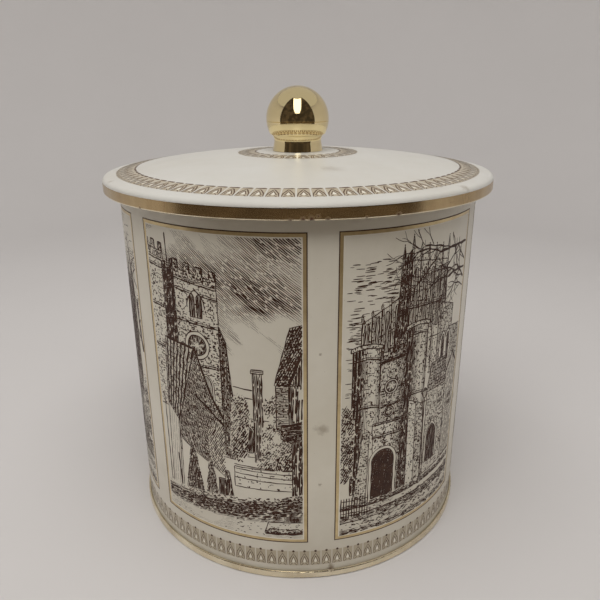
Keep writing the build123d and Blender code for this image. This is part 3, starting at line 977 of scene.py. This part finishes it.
def minster_gate(p):
    """A gatehouse with two drum turrets, a great traceried tower behind it and bare boughs above."""
    dashes(p, 3, 22, 84, 114, 170, 3.4)
    dashes(p, 3, 9, 62, 92, 70, 2.4)
    ribbed(p, Face((8.0, 64), (24.5, 66), (24.0, 100), (9.0, 92)), 4, 0.10, 2.2, 0.55)
    slab(p, Face((21.0, 64), (28.5, 64), (29.0, 117), (24.2, 111)), 0.80, 88, 0.58, 0.44, 0.8)
    ribbed(p, Face((28.0, 64), (50.0, 64), (48.5, 110), (28.5, 113)), 5, 0.0, 6.5, 0.5)
    pinnacle(p, 24.6, 108, 1.2, 9.5, 0.9)
    moulding(p, Face((21.0, 64), (50.0, 64), (48.5, 111), (24.2, 112)), 0.62)
    slab(p, wall(47, 40, 9, 52, 3), 0.16, 88, 0.8, 0.36, 0.5)
    slab(p, wall(54, 24, 13, 56, 2), 0.26, 86, 0.8, 0.36, 0.4)
    for x in (49.6, 53.6):
        lancets(p, x, 66, 2.4, 12, 1)
    middle = wall(15.4, 30, 15.6, 47, -2.0)
    crenels(p, middle, 4, 2.2, 0.6, 0.2)
    p.hatch(80, 0.6, lambda x, y: np.clip(0.16 * (x - 24.0), 0, 0.95), broken=0.05)
    moulding(p, middle, 0.94, 0.70, 0.56)
    rose(p, 21.8, 64.5, 2.2, 6)
    rose(p, 21.2, 54.0, 1.6, 4)
    turret(p, 5.8, 20, 11.0, 61, 0.98, 0.4, (0.60, 0.92))
    turret(p, 28.2, 20, 10.6, 66, 0.98, 0.34, (0.56, 0.94))
    arcade = Face((12.0, 16), (31.0, 16), (28.2, 50), (14.4, 50))
    p.block(arcade.outline())
    masonry(p, arcade, tone=0.62)
    p.hatch(80, 0.66, lambda x, y: np.clip(0.14 * (x - 24.0) + 0.006 * (y - 20), 0, 0.92), broken=0.05)
    p.outline(0.36)
    moulding(p, arcade, 0.98, 0.82)
    slab(p, Face((6.6, 14), (12.6, 14), (13.4, 47), (10.4, 47)), 0.1, 84, 0.62, 0.36, 0.75)
    slab(p, Face((12.4, 14), (15.0, 14), (14.6, 46), (13.2, 46)), 0.0, 84, 0.62, 0.3, 0.16)
    slab(p, Face((26.4, 14), (31.6, 14), (30.2, 50), (27.8, 50)), 0.85, 86, 0.6, 0.4, 0.7)
    slab(p, Face((31.2, 14), (36.0, 14), (34.8, 54), (30.6, 56)), 0.04, 84, 0.8, 0.36, 0.34)
    slab(p, Face((35.6, 14), (41.6, 14), (38.6, 52), (34.6, 54)), 0.16, 84, 0.8, 0.36, 0.7)
    opening(p, 19.6, 16.0, 9.8, 22.0, False, 1.1, 1.3)
    p.hatch(20, 0.7, 0.85, broken=0.1)
    slab(p, Face((41, 18), (67, 20), (67, 54), (41, 58)), 0.10, 86, 0.9, 0.36, 0.5)
    gable(p, 54.5, 20, 11, 40, 1.3, False, 0.35)
    tiles(p, Face((40.5, 56), (55, 56), (52.5, 68), (43, 68)), 1.3, 0.8, 0.5)
    opening(p, 46.0, 23.0, 6.6, 17, True, 0.95, 1.1)
    panes(p, 49.0, 47, 3.0, 5.5)
    panes(p, 58.0, 42, 3.6, 7.0)
    foliage(p, 2.6, 50, 4.0, 9.0, 1.0)
    foliage(p, 3.2, 37, 3.6, 10.0, 1.0)
    ground(p, 15.5, ((0.93, 0.08, 0.8), (0.62, 0.08, 0.6), (0.14, 0.12, 0.7)), 0.24, 3.0)
    p.flecks(1300, 1.3, 0.36, 4, 0.3, lambda x, y: np.clip(1.0 - np.abs(y - 6.5 - 0.05 * x) / 5.5, 0, 0.75))
    for y in (13.4, 10.5, 7.4):
        p.line([(2, y), (67, y + 2.8)], 0.44, 0.1)
    railing(p, 2.4, 13.5, 9.5, 9.5)
    lamp_post(p, 39.6, 14.5, 44)
    for y, angle, length, forks in ((112, 174, 25, 3), (101, 160, 19, 3), (86, 118, 17, 2), (95, 142, 15, 2)):
        branch(p, 68, y, angle, length, 1.0, forks)


def abbey_bridge(p):
    """A stone bridge over a river below an abbey with a spire."""
    sky(p, 32, 0.7, cloud_tone(p, 0.32, 0.2, 24, 30, clear=((20, 100, 14, 9), (48, 76, 12, 8))))
    spire(p, 40, 84, 9.0, 33)
    ribbed(p, wall(34.5, 52, 11, 32), 3, 0.36, 4.2)
    slab(p, wall(45.5, 52, 4.5, 30), 0.7, 86, 0.6, 0.4, 0.4)
    tiles(p, Face((12, 66), (35, 66), (35, 75), (16, 74)), 1.3, 0.75, 0.35)
    slab(p, wall(11, 48, 24, 18), 0.0, 0, stones=0.35)
    for x in (15, 20, 25, 30):
        lancets(p, x, 53, 2.4, 8, 1)
    for x in (12.4, 17.5, 22.5, 27.5, 32.5):
        pinnacle(p, x, 64, 1.0, 5.0)
    gable(p, 50, 46, 12, 13, 1.2)
    tiles(p, Face((44, 58), (50.5, 58), (56, 66), (49, 66)), 1.3, 0.8, 0.4)
    panes(p, 54, 49, 4, 4)
    bushes(p, 1.1, 0.62, ((6, 52, 7), (4, 62, 5), (12, 47, 5), (60, 46, 5), (64, 56, 6)))
    face = wall(0, 30, 66, 13, -2.0)
    p.block(face.outline())
    masonry(p, face, tone=0.5)
    p.outline(0.4)
    moulding(p, face, 0.86)
    for x, wide, tall in ((12, 14, 11), (33, 17, 13), (55, 14, 11.5)):
        opening(p, x, 28, wide, tall, False, 0.78, 1.3)
    for x in (22.5, 44.8):
        slab(p, Face((x - 2.4, 26), (x + 2.4, 26), (x + 1.6, 40), (x - 1.6, 40)), 0.3, 86, 0.7, 0.38, 0.5)
    ground(p, 29, ((0.93, 0.10, 0.75), (0.62, 0.05, 0.4), (0.40, 0.04, 0.35)), 0.34)
    bushes(p, 0.8, 0.72, ((5, 8, 9), (14, 5, 6), (62, 6, 7)))
    railing(p, 24, 50, 3, 6.5)
    tree(p, 60, 8, 66, 12, 0.6, 1.6)
    branch(p, 4, 8, 84, 46, 1.6, 3)


def market_cross(p):
    """A market place with a covered cross, gabled houses and a far church tower."""
    sky(p, -34, 0.7, cloud_tone(p, 0.32, 0.2, 22, -34, clear=((50, 104, 12, 8), (14, 90, 8, 8))))
    crenels(p, wall(25, 60, 13, 40), 3, 2.6, 0.42)
    slab(p, wall(38, 60, 4.4, 40), 0.7, 86, 0.6, 0.4, 0.4)
    lancets(p, 31.5, 82, 5, 9)
    moulding(p, wall(25, 60, 17.4, 40), 0.35, 0.75)
    pinnacle(p, 25, 99, 1.4, 8)
    pinnacle(p, 42, 99, 1.4, 8)
    bushes(p, 1.0, 0.6, ((22, 58, 6), (44, 58, 6), (34, 56, 6)))
    for x, wide, tall in ((-4, 13, 46), (8, 11, 38), (45, 10, 38), (54, 14, 48)):
        gable(p, x, 20, wide, tall, 1.25)
        for level in (0.2, 0.6):
            panes(p, x + wide / 2 - 2.2, 20 + level * tall, 4.4, 5.0, 3, 2)
    for x, wide in ((-4, 12), (8, 10), (45.5, 9), (54.5, 11)):
        slab(p, wall(x + 0.5, 20, wide, 7), 0.82, 87, 0.55, 0.4)
        tiles(p, Face((x, 27), (x + wide + 1, 27), (x + wide, 30), (x + 1, 30)), 1.0, 0.8, 0.4)
    slab(p, wall(21, 20, 24, 20), 0.0, 0, stones=0.35)
    for x in (25.5, 33.0, 40.5):
        opening(p, x, 20, 5.4, 15, True, 0.9, 0.8)
    crenels(p, wall(20.4, 38, 25.2, 6), 7, 1.8, 0.6)
    for x in (20.6, 29.2, 36.8, 45.4):
        slab(p, wall(x - 0.9, 18, 1.8, 24), 0.5, 86, 0.5, 0.36)
        pinnacle(p, x, 42, 1.5, 8)
    tiles(p, Face((23, 45), (43, 45), (34.5, 60), (31.5, 60)), 1.3, 0.8, 0.4)
    spire(p, 33, 59, 3.4, 14)
    ground(p, 19, ((0.90, 0.10, 0.7), (0.30, 0.10, 0.45)), 0.22)
    for y in (17.5, 15.6, 13.6):
        p.line([(y, y), (66 - y, y)], 0.4)
    lamp_post(p, 12, 7, 30)
    paving(p, 46, 4, 14, 5)


def castle_hill(p):
    """A castle on a wooded hill above a cottage and a gate."""
    sky(p, 38, 0.7, cloud_tone(p, 0.34, 0.22, 24, 38, clear=((18, 104, 12, 8), (52, 110, 9, 6))))
    crenels(p, wall(8, 66, 13, 28), 4, 2.4, 0.5)
    slab(p, wall(21, 66, 3.4, 28), 0.72, 86, 0.6, 0.4)
    crenels(p, wall(23, 62, 20, 19), 6, 2.0, 0.5)
    turret(p, 40, 60, 11, 40, 0.6, 0.55, (0.4, 0.85))
    turret(p, 28, 60, 6.5, 29, 0.6, 0.55, (0.5,))
    lancets(p, 14.5, 78, 4.4, 8)
    opening(p, 35.5, 66, 3.0, 7)
    p.line([(45.5, 101), (45.5, 114)], 0.45, 0.02)
    high_wood = ((4, 66, 6), (12, 62, 6), (21, 60, 6), (31, 60, 6), (41, 59, 6), (52, 61, 7), (62, 66, 7))
    bushes(p, 0.9, 0.62, high_wood)
    low_wood = ((8, 50, 8), (24, 51, 8), (40, 50, 8), (56, 50, 8), (16, 44, 7), (33, 43, 7), (60, 42, 7))
    bushes(p, 0.85, 0.7, low_wood)
    gable(p, 36, 20, 18, 17, 1.1)
    tiles(p, Face((16, 36), (36, 36), (43, 47), (22, 47)), 1.4, 0.85, 0.4)
    slab(p, wall(17, 20, 19, 17), 0.1, 86, 0.8, 0.38, 0.2)
    for x in (20, 27):
        panes(p, x, 27, 4.2, 5)
    panes(p, 43, 27, 5, 5, 3, 2)
    slab(p, wall(43.4, 20, 3.6, 6.5), 0.9, 88, 0.5, 0.4)
    chimney(p, 30, 44, 3.2, 10)
    ground(p, 20, ((0.92, 0.08, 0.7), (0.35, 0.10, 0.5)), 0.25)
    slab(p, wall(0, 12, 20, 9), 0.1, 86, 0.9, 0.36, 0.6)
    slab(p, wall(48, 11, 18, 9), 0.1, 86, 0.9, 0.36, 0.6)
    for x in (20.5, 47.5):
        slab(p, wall(x - 1.5, 9, 3, 15), 0.4, 86, 0.6, 0.4, 0.5)
        p.dot(x, 25.2, 1.3)
    railing(p, 22.5, 46.5, 10, 8.5)
    tree(p, 6, 12, 56, 11, 0.62, 1.6)
    conifer(p, 60, 11, 8, 30, 0.7)


def cathedral_front(p):
    """The two-towered west front of a great church across a green."""
    dashes(p, 3, 60, 96, 120, 90, 3.0)
    sky_level = smooth_field(p.random, 20, 0, 3.0)
    p.hatch(0, 1.1, lambda x, y: np.clip(0.22 * sky_level(x, y) * (y > 70), 0, 0.5), 0.08, 0.2)
    ribbed(p, wall(22, 24, 22, 50), 3, 0.3, 3.0)
    p.block([(22, 73), (44, 73), (33, 88)])
    masonry(p, wall(22, 73, 22, 15), tone=0.5)
    p.outline(0.44)
    rose(p, 33, 63, 5.4, 12)
    for x in (8, 42):
        face = wall(x, 24, 15, 74)
        ribbed(p, face, 3, 0.32, 9.0)
        slab(p, wall(x + 15, 24, 2.6, 72), 0.75, 87, 0.6, 0.4)
        moulding(p, face, 0.3, 0.55, 0.78)
        lancets(p, x + 7.5, 84, 7, 11, 2)
    for x, wide, tall in ((15.5, 7, 14), (33, 9, 22), (49.5, 7, 14)):
        opening(p, x, 24, wide + 2, tall + 2, True, 0.35, 1.2)
        opening(p, x, 24, wide * 0.62, tall * 0.72, True, 0.95, 1.0)
    bushes(p, 1.4, 0.7, ((2, 34, 6), (63, 36, 7), (64, 48, 5)))
    ground(p, 24, ((0.93, 0.08, 0.75), (0.45, 0.09, 0.4), (0.1, 0.1, 0.6)), 0.22)
    railing(p, 2, 22, 14, 7)
    railing(p, 46, 64, 14, 7)
    lamp_post(p, 25, 10, 27)
    lamp_post(p, 44, 10, 27)
    for x, angle in ((1, 72), (66, 106)):
        branch(p, x, 60, angle, 26, 1.5, 3)
    paving(p, 8, 3, 16, 4.6)


# ---- Meshes turned about the tin's axis
def unit(vector):
    return vector / np.linalg.norm(vector)


def rounded(points, bends, steps=6):
    """A path (radius, height) through points, with an arc of each bend's radius at each inner point."""
    points = [np.array(p, float) for p in points]
    path = [points[0]]
    for before, corner, after, bend in zip(points, points[1:], points[2:], bends):
        back, ahead = unit(before - corner), unit(after - corner)
        half_angle = math.acos(np.clip(back @ ahead, -1, 1)) / 2
        centre = corner + unit(back + ahead) * bend / math.sin(half_angle)
        reach = bend / math.tan(half_angle)
        first, last = corner + back * reach - centre, corner + ahead * reach - centre
        turn = math.pi - 2 * half_angle
        for share in np.linspace(0, 1, steps + 1):
            swept = math.sin((1 - share) * turn) * first + math.sin(share * turn) * last
            path.append(centre + swept / math.sin(turn))
    path.append(points[-1])
    return np.array(path)


def both_faces(path, half):
    """The closed outline of a sheet round its middle path: one side forwards, then the other back."""
    step = np.gradient(path, axis=0)
    normal = np.stack([-step[:, 1], step[:, 0]], axis=1) / np.linalg.norm(step, axis=1)[:, None]
    return np.concatenate([path + normal * half, (path - normal * half)[::-1]])


def unrolled(points):
    """Texture places for a print: height against angle on the wall, or straight down on the lid."""
    if points[:, 2].min() < MOUTH_Z:
        turn = np.arctan2(points[:, 0], -points[:, 1])
        flat = np.stack([np.mod(turn - math.radians(SIDE_SEAM), 2 * math.pi), points[:, 2]], axis=1)
    else:
        flat = points[:, :2]
    return (flat - flat.min(axis=0)) / np.ptp(flat, axis=0)


def mesh_piece(name, points, faces, materials, slots=None, printed=False):
    """A smooth mesh object from arrays of points and four-sided faces.
    A print gets its own texture places."""
    mesh = bpy.data.meshes.new(name)
    mesh.vertices.add(len(points))
    mesh.vertices.foreach_set("co", np.ascontiguousarray(points, np.float32).ravel())
    mesh.loops.add(faces.size)
    mesh.loops.foreach_set("vertex_index", np.ascontiguousarray(faces, np.int32).ravel())
    mesh.polygons.add(len(faces))
    mesh.polygons.foreach_set("loop_start", np.arange(0, faces.size, 4, dtype=np.int32))
    mesh.polygons.foreach_set("use_smooth", np.full(len(faces), True))
    for material in materials:
        mesh.materials.append(material)
    if slots is not None:
        mesh.polygons.foreach_set("material_index", np.ascontiguousarray(slots, np.int32))
    if printed:
        places = mesh.uv_layers.new(name="OFBake")
        corners = unrolled(points)[faces.ravel()]
        places.data.foreach_set("uv", np.ascontiguousarray(corners, np.float32).ravel())
    mesh.update(calc_edges=True)
    piece = bpy.data.objects.new(name, mesh)
    bpy.context.scene.collection.objects.link(piece)
    return piece


def round_points(radius, angle, height):
    """Points on a turned surface, from radius, angle in degrees and height."""
    a = np.radians(angle)
    return np.stack([radius * np.sin(a), -radius * np.cos(a), height], axis=-1)


def grid_faces(rows, columns, wrap_rows=False, wrap_columns=False):
    """The four-sided faces of a grid of points, row by row."""
    last_row, last_column = rows - (not wrap_rows), columns - (not wrap_columns)
    i, j = np.meshgrid(np.arange(last_row), np.arange(last_column), indexing="ij")
    up, along = (i + 1) % rows, (j + 1) % columns
    corners = [i * columns + j, up * columns + j, up * columns + along, i * columns + along]
    return np.stack(corners, axis=-1).reshape(-1, 4)


def columns_of(path, count):
    """The radius and the height of a path (radius, height), each as a grid of count equal columns."""
    return (np.repeat(np.array(path)[:, k : k + 1], count, axis=1) for k in (0, 1))


def spun(name, outline, angles, materials, slot_of, shift):
    """A closed outline (radius, height) turned about +Z through angles; slot_of gives each stretch's slot."""
    rows, columns = len(outline), len(angles)
    angle = np.tile(angles, (rows, 1))
    radius, height = shift(*columns_of(outline, columns), angle)
    middles = (outline + np.roll(outline, -1, axis=0)) / 2
    slots = np.repeat([slot_of(k, *middles[k]) for k in range(rows)], columns)
    points = round_points(radius, angle, height).reshape(-1, 3)
    return mesh_piece(name, points, grid_faces(rows, columns, True, True), materials, slots)


def body_shell():
    """The rolled wall in fine facets, enamel outside and plain tinplate inside, with its folded side seam."""
    middle = BODY_R - HALF
    curl, fold_low, fold_high, edge = 2.2 * MM, 8 * MM, 141 * MM, 0.4 * MM
    hook, hook_r = HALF + LAYER, middle + 2 * LAYER
    inner, low_curl = BODY_R - curl + HALF, MOUTH_Z - curl + HALF
    curl_bend = (curl - SHEET) / 2 - 0.05 * MM
    foot = rounded([(hook_r, 2.3 * MM), (hook_r, hook), (middle, hook), (middle, SEAM_Z)], [FOLD_BEND] * 2)
    stops = [fold_low, fold_low + edge, fold_high - edge, fold_high]
    mouth = [(middle, fold_high + edge), (middle, MOUTH_Z - HALF), (inner, MOUTH_Z - HALF)]
    mouth += [(inner, low_curl), (middle - LAYER - HALF, low_curl)]
    path = np.concatenate([foot, [(middle, z) for z in stops], rounded(mouth, [curl_bend] * 3)])
    outline = both_faces(path, HALF)
    outside = np.arange(len(outline))[:, None] >= len(path)

    half_fold, half_groove = math.degrees(2.0 * MM / BODY_R), math.degrees(0.2 * MM / BODY_R)
    fold_edge, groove_edge = 0.2, 0.06
    steps = [half_fold, half_fold - fold_edge, half_groove, half_groove - groove_edge]
    near_seam = [[SIDE_SEAM + s, SIDE_SEAM - s] for s in steps]
    angles = np.unique(np.concatenate([np.arange(0, 360, 1.25)] + near_seam))

    def slot_of(k, radius, height):
        return int(k < len(path))

    def side_seam(radius, height, angle):
        away = np.abs(angle - SIDE_SEAM)
        rise = np.clip((height - fold_low) / edge, 0, 1) * np.clip((fold_high - height) / edge, 0, 1)
        fold = np.clip((half_fold - away) / fold_edge, 0, 1) * rise * 2 * SHEET
        seen = (height >= SEAM_Z) & (height <= fold_high)
        groove = np.clip((half_groove - away) / groove_edge, 0, 1) * seen * 0.12 * MM
        return radius - np.where(outside, groove, fold), height

    return spun("body_shell", outline, angles, [BODY_ENAMEL, INSIDE], slot_of, side_seam)


def on_dome(radius, lift=0.0):
    """The height of the lid's outer surface at a radius."""
    return DOME_CENTRE + np.sqrt((DOME_R + lift) ** 2 - radius**2)


def lid_dome():
    """The lid in fine facets: enamel dome, gold skirt with a paler gold band at its hem as a painted
    highlight, plain tinplate underneath.
    """
    middle, skirt = DOME_R - HALF, LID_R - HALF
    shoulder_r, reach = skirt - SHOULDER_BEND, middle - SHOULDER_BEND
    shoulder_z = DOME_CENTRE + math.sqrt(reach**2 - shoulder_r**2)
    edge = shoulder_r * middle / reach
    screw_hole, last_coarse, first_fine = 2.3 * MM, 70 * MM, 71 * MM
    radii = np.concatenate([np.linspace(screw_hole, last_coarse, 28), np.linspace(first_fine, edge, 8)])
    dome = np.stack([radii, on_dome(radii, -HALF)], axis=1)
    start = math.asin(edge / middle)
    turn = np.linspace(start, math.pi / 2, 10)[1:]
    shoulder = [shoulder_r, shoulder_z] + SHOULDER_BEND * np.stack([np.sin(turn), np.cos(turn)], axis=1)
    hem = SKIRT_Z + HALF
    corners = [(skirt, shoulder_z - 0.3 * MM), (skirt, hem), (skirt - 2 * LAYER, hem)]
    corners += [(skirt - 2 * LAYER, hem + 1.6 * MM)]
    path = np.concatenate([dome, shoulder, rounded(corners, [FOLD_BEND] * 2)])
    outline = both_faces(path, HALF)

    def slot_of(k, radius, height):
        if k >= len(path):
            return 2
        # Below the hem line the paler gold paints a highlight along the hem.
        if height < HEM_LINE_Z:
            return 3
        return int(height < GOLD_LINE_Z)

    def unevenness(radius, height, angle):
        """Hand-worn skirt: it wanders inwards by a few hundredths of a millimetre."""
        near_skirt = np.clip((radius - 78 * MM) / (3 * MM), 0, 1)
        a = np.radians(angle)
        wander = np.sin(3 * a + 0.7) + 0.6 * np.sin(7 * a + 2.1) + 0.35 * np.sin(17 * a + 0.4)
        widest = 1.95
        return radius - near_skirt * (widest + wander) * 0.02 * MM, height

    angles = np.arange(0, 360, 1.0)
    return spun("lid_dome", outline, angles, [LID_ENAMEL, GOLD, INSIDE, PALE_GOLD_HIGHLIGHT], slot_of, unevenness)


# ---- Prints on the tin: pictures, frames and ornament bands
def on_wall(points, angle, low, lift):
    """Print points, in millimetres, wrapped on the wall: x from an angle in degrees, y up from a height."""
    degrees = angle + np.degrees(points[:, 0] * MM / BODY_R)
    return round_points(BODY_R + lift, degrees, (low + points[:, 1]) * MM)


def on_lid(points, whole, outer, lift):
    """Print points laid on the lid: x runs round it, whole being a full turn, and y inwards from outer."""
    radius = (outer - points[:, 1]) * MM
    return round_points(radius, points[:, 0] * 360 / whole, on_dome(radius) + lift)


def join(parts):
    """Several (points, faces) as one."""
    offsets = np.cumsum([0] + [len(points) for points, _ in parts])
    faces = [faces + offset for (_, faces), offset in zip(parts, offsets)]
    return np.concatenate([points for points, _ in parts]), np.concatenate(faces)


def strip(x0, x1, y0, y1):
    """A flat rectangle of print, cut finely enough to be wrapped."""
    step = 1.5
    columns, rows = (max(2, round((b - a) / step) + 1) for a, b in ((x0, x1), (y0, y1)))
    x, y = np.meshgrid(np.linspace(x0, x1, columns), np.linspace(y0, y1, rows))
    return np.stack([x.ravel(), y.ravel()], axis=1), grid_faces(rows, columns)[:, ::-1]


def frame_of(wide, tall, inset, thick):
    """The four strips of a frame, inset from a rectangle's edge."""
    a, b, c, d = inset, inset + thick, wide - inset - thick, wide - inset
    e, f = tall - inset - thick, tall - inset
    return join([strip(a, b, a, f), strip(c, d, a, f), strip(b, c, a, b), strip(b, c, e, f)])


def lay_print(name, points, faces, material, body="tin", slot="body_enamel"):
    """Makes a print a piece of its own on a CAD body."""
    place(mesh_piece(name, points, faces, [material], printed=True), body, slot)


def panel_angle(k):
    """The angle of the left edge of panel k."""
    return PANEL_START + k * PANEL_PITCH - math.degrees(PANEL_W * MM / BODY_R) / 2


def pictures():
    """Six engraved pictures round the wall."""
    scenes = (abbey_bridge, cathedral_front, church_street, minster_gate, market_cross, castle_hill)
    for k, scene in enumerate(scenes):
        plate = Plate(PANEL_W, PANEL_H, FRAME, seed=11 + k)
        scene(plate)
        points, faces = plate.ribbons()
        lay_print(f"engraving_{k + 1}", on_wall(points, panel_angle(k), PANEL_LOW, INK_LIFT), faces, INK)


def frames():
    """Round every picture a thin dark line, a gold frame and a light line inside it."""
    for name, inset, thick, material, lift, slot in (
        ("frame_lines", 0.0, FRAME_LINE, INK_LINE, INK_LIFT, "body_enamel"),
        ("frame_light", FRAME_LINE + FRAME_GOLD, FRAME_LIGHT, PRINT_LIGHT, GOLD_LIFT, "body_enamel"),
        ("frame_gold", FRAME_LINE, FRAME_GOLD, PRINT_GOLD, GOLD_LIFT, "gold_lacquer"),
    ):
        flat, faces = frame_of(PANEL_W, PANEL_H, inset, thick)
        parts = [(on_wall(flat, panel_angle(k), PANEL_LOW, lift), faces) for k in range(PANELS)]
        lay_print(name, *join(parts), material, slot=slot)


def ornament(count, pitch, tall, bold):
    """A row of pointed arches: tan cells, dark arches, light drops, and a bead or a dash above each."""
    length = count * pitch
    tan, dark, light = (Plate(length, tall + 1.0, 0.0, seed) for seed in (31, 32, 33))
    half, gap, top = pitch / 2, 0.055 * pitch, 0.93 * tall
    share = np.linspace(0, 1, 7)
    swell = np.array([0.5, 1.15, 1.1, 0.8, 0.45, 0.1])
    for k in range(count):
        x = (k + 0.5) * pitch
        for side in (-1, 1):
            middle = x + side * (half - gap) / 2
            tan.add(np.full((1, 3), middle), np.linspace(0.2, tall - 0.5, 3)[None], half - gap, False, 1)
            for foot, base, head, width in ((0.95, 0.04, 0.80, 0.28), (0.56, 0.20, 0.60, 0.42)):
                reach = foot * (half - gap)
                across = x + side * reach * (1 - share**2.2)
                up = tall * (base + (head - base) * share)
                dark.line(np.stack([across, up], axis=1), width * bold, 0.0, step=0.7)
            spur = [(x + side * 0.62 * half, 0.03 * tall), (x + side * 0.20 * half, 0.15 * tall)]
            dark.line(spur, 0.42 * bold, 0.0, step=0.5)
        drop = np.linspace(0.20, 0.50, len(swell)) * tall
        light.add(np.full((1, len(swell)), x), drop[None], 0.42 * half * swell, False, 1)
        if bold > 1:
            dark.line([(x - 0.40 * pitch, top), (x + 0.40 * pitch, top)], 1.0, 0.0, step=0.6)
        else:
            dark.dot(x, top, 0.12 * pitch)
    return [plate.ribbons() for plate in (tan, dark, light)]


def ornament_bands():
    """The bands on the wall's foot, round the lid's edge and round the knob."""
    inks = ((PRINT_TAN, GOLD_LIFT), (INK_BAND, INK_LIFT), (PRINT_LIGHT, INK_LIFT))
    for name, count, length, tall, outer in (
        ("foot_band", 108, 2 * math.pi * BODY_R / MM, 7.6, None),
        ("lid_band", 94, 2 * math.pi * LID_BAND_MIDDLE, 8.4, LID_BAND_OUTER),
        ("knob_band", 30, 2 * math.pi * KNOB_BAND_MIDDLE, 8.2, KNOB_BAND_OUTER),
    ):
        body, bold = ("lid", 1.7) if outer else ("tin", 1.0)
        slot = "lid_enamel" if outer else "body_enamel"
        parts = ornament(count, length / count, tall, bold)
        for part, (flat, faces), (material, lift) in zip(("ground", "arches", "drops"), parts, inks):
            points = on_lid(flat, length, outer, lift) if outer else on_wall(flat, 0.0, FOOT_BAND_LOW, lift)
            lay_print(f"{name}_{part}", points, faces, material, body, slot)


# ---- The object
def dress(node, material):
    """Gives a CAD node that stays its better material."""
    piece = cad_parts[node]
    for slot in piece.material_slots:
        slot.material = material


def place(piece, body, slot):
    """Makes a new piece ride on a CAD body; slot is not used."""
    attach(piece, body)
    return piece


def build_tin():
    shell = place(body_shell(), "tin", "body_enamel")
    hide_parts("body_wall")
    dome = place(lid_dome(), "lid", "lid_enamel")
    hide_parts("lid_top")
    for node, material in (
        # The base seam takes the paler gold, partly painted highlight.
        ("base_end", PALE_GOLD_HIGHLIGHT),
        ("seam_compound", COMPOUND),
        ("lid_plug", INSIDE),
        ("knob_upper_shell", KNOB_GOLD),
        ("knob_lower_shell", KNOB_GOLD),
        ("knob_insert", BRASS),
        ("knob_screw", STEEL),
        ("screw_washer", STEEL),
    ):
        dress(node, material)
    pictures()
    frames()
    ornament_bands()


# ---- Stage: floor and sweep, lights, camera
def stage_paper():
    s = Shader("stage_paper")
    s.set(base_color=s.mix(s.noise(6.0), (0.63, 0.61, 0.60), (0.60, 0.58, 0.57)), roughness=0.85)
    return s.material


def backdrop():
    """A round floor whose edge sweeps up into a wall, far enough out for every view of the tin."""
    floor_r, wall_r, wall_z = 0.60, 0.95, 0.90
    bend = rounded([(0.001, 0), (wall_r, 0), (wall_r, wall_z)], [wall_r - floor_r], steps=16)
    angles = np.arange(0, 360, 3.0)
    radius, height = columns_of(bend, len(angles))
    points = round_points(radius, np.tile(angles, (len(bend), 1)), height).reshape(-1, 3)
    faces = grid_faces(len(bend), len(angles), wrap_columns=True)[:, ::-1]
    mesh_piece("backdrop", points, faces, [stage_paper()])


def soft_light(name, location, size, power, colour):
    """A square light aimed at the middle of the tin."""
    data = bpy.data.lights.new(name, "AREA")
    data.size, data.energy, data.color = size, power, colour
    light = bpy.data.objects.new(name, data)
    light.location = location
    towards_tin = Vector((0, 0, MOUTH_Z / 2)) - Vector(location)
    light.rotation_euler = towards_tin.to_track_quat("-Z", "Y").to_euler()
    light.visible_glossy = False
    bpy.context.scene.collection.objects.link(light)


def screen(name, path, spans, colour, strength=1.0, room=False):
    """A curved screen that the camera doesn't see, only its reflection: path gives (radius, height) and
    spans its half-widths in degrees. A piece of the room is patchy and also shades what it stands before."""
    steps = 25
    turns = np.array(spans)[:, None] * np.linspace(-1, 1, steps)
    radius, height = columns_of(path, steps)
    s = Shader(name)
    shapes = s.fit(s.noise(9.0, 2.0, 0.5), 0.45, 0.62)
    glow = s.mix(shapes, colour, tuple(2.2 * c for c in colour)) if room else colour
    s.set(base_color=(0, 0, 0), roughness=1.0, emission_color=glow, emission_strength=strength)
    points = round_points(radius, turns, height).reshape(-1, 3)
    piece = mesh_piece(name, points, grid_faces(len(path), steps), [s.material])
    piece.visible_camera = False
    piece.visible_diffuse = room
    piece.visible_shadow = False


def lights():
    soft_light("ceiling", (-0.06, -0.36, 0.95), 0.9, 10.0, (1.0, 0.985, 0.965))
    soft_light("left_fill", (-0.75, -0.45, 0.45), 0.5, 0.35, (1.0, 0.99, 0.97))
    soft_light("right_fill", (0.75, -0.50, 0.45), 0.5, 0.30, (1.0, 0.99, 0.97))
    table = [(0.32, 0.003), (0.46, 0.004), (0.46, 0.13)]
    screen("dark_table", table, [70, 66, 65], (0.076, 0.057, 0.039), room=True)
    walls = [(0.46, 0.13), (0.46, 0.50), (0.17, 0.82)]
    screen("dark_room", walls, [65, 60, 52], (0.036, 0.027, 0.019), room=True)
    screen("window", [(0.45, 0.34), (0.45, 0.49), (0.18, 0.79)], [8, 15, 40], (1.0, 0.97, 0.88), 2.2)
    screen("pale_ceiling", [(0.01, 1.10), (0.95, 0.90)], [180, 180], (0.46, 0.44, 0.41))
    world = bpy.data.worlds.new("studio")
    bpy.context.scene.world = world
    world.use_nodes = True
    background = world.node_tree.nodes["Background"]
    background.inputs["Color"].default_value = (1.0, 0.98, 0.96, 1.0)
    background.inputs["Strength"].default_value = 0.22


def camera():
    """The camera stands in front of the tin, level with the top of the knob, and looks down at it."""
    distance, height, aside = 3.473 * BODY_R, 2.4695 * BODY_R, 0.030 * BODY_R
    tilt, yaw, roll = 0.3479, 0.0065, -0.0064
    data = bpy.data.cameras.new("camera")
    data.sensor_width, data.lens = 36.0, 35.556
    data.clip_start = 0.01
    eye = bpy.data.objects.new("camera", data)
    turn = Matrix.Rotation(yaw, 4, "Z") @ Matrix.Rotation(math.pi / 2 - tilt, 4, "X")
    turn = turn @ Matrix.Rotation(roll, 4, "Z")
    eye.matrix_world = Matrix.Translation((aside, -distance, height)) @ turn
    bpy.context.scene.collection.objects.link(eye)
    bpy.context.scene.camera = eye


camera()
build_tin()
backdrop()
lights()
bpy.context.scene.view_settings.view_transform = "Standard"
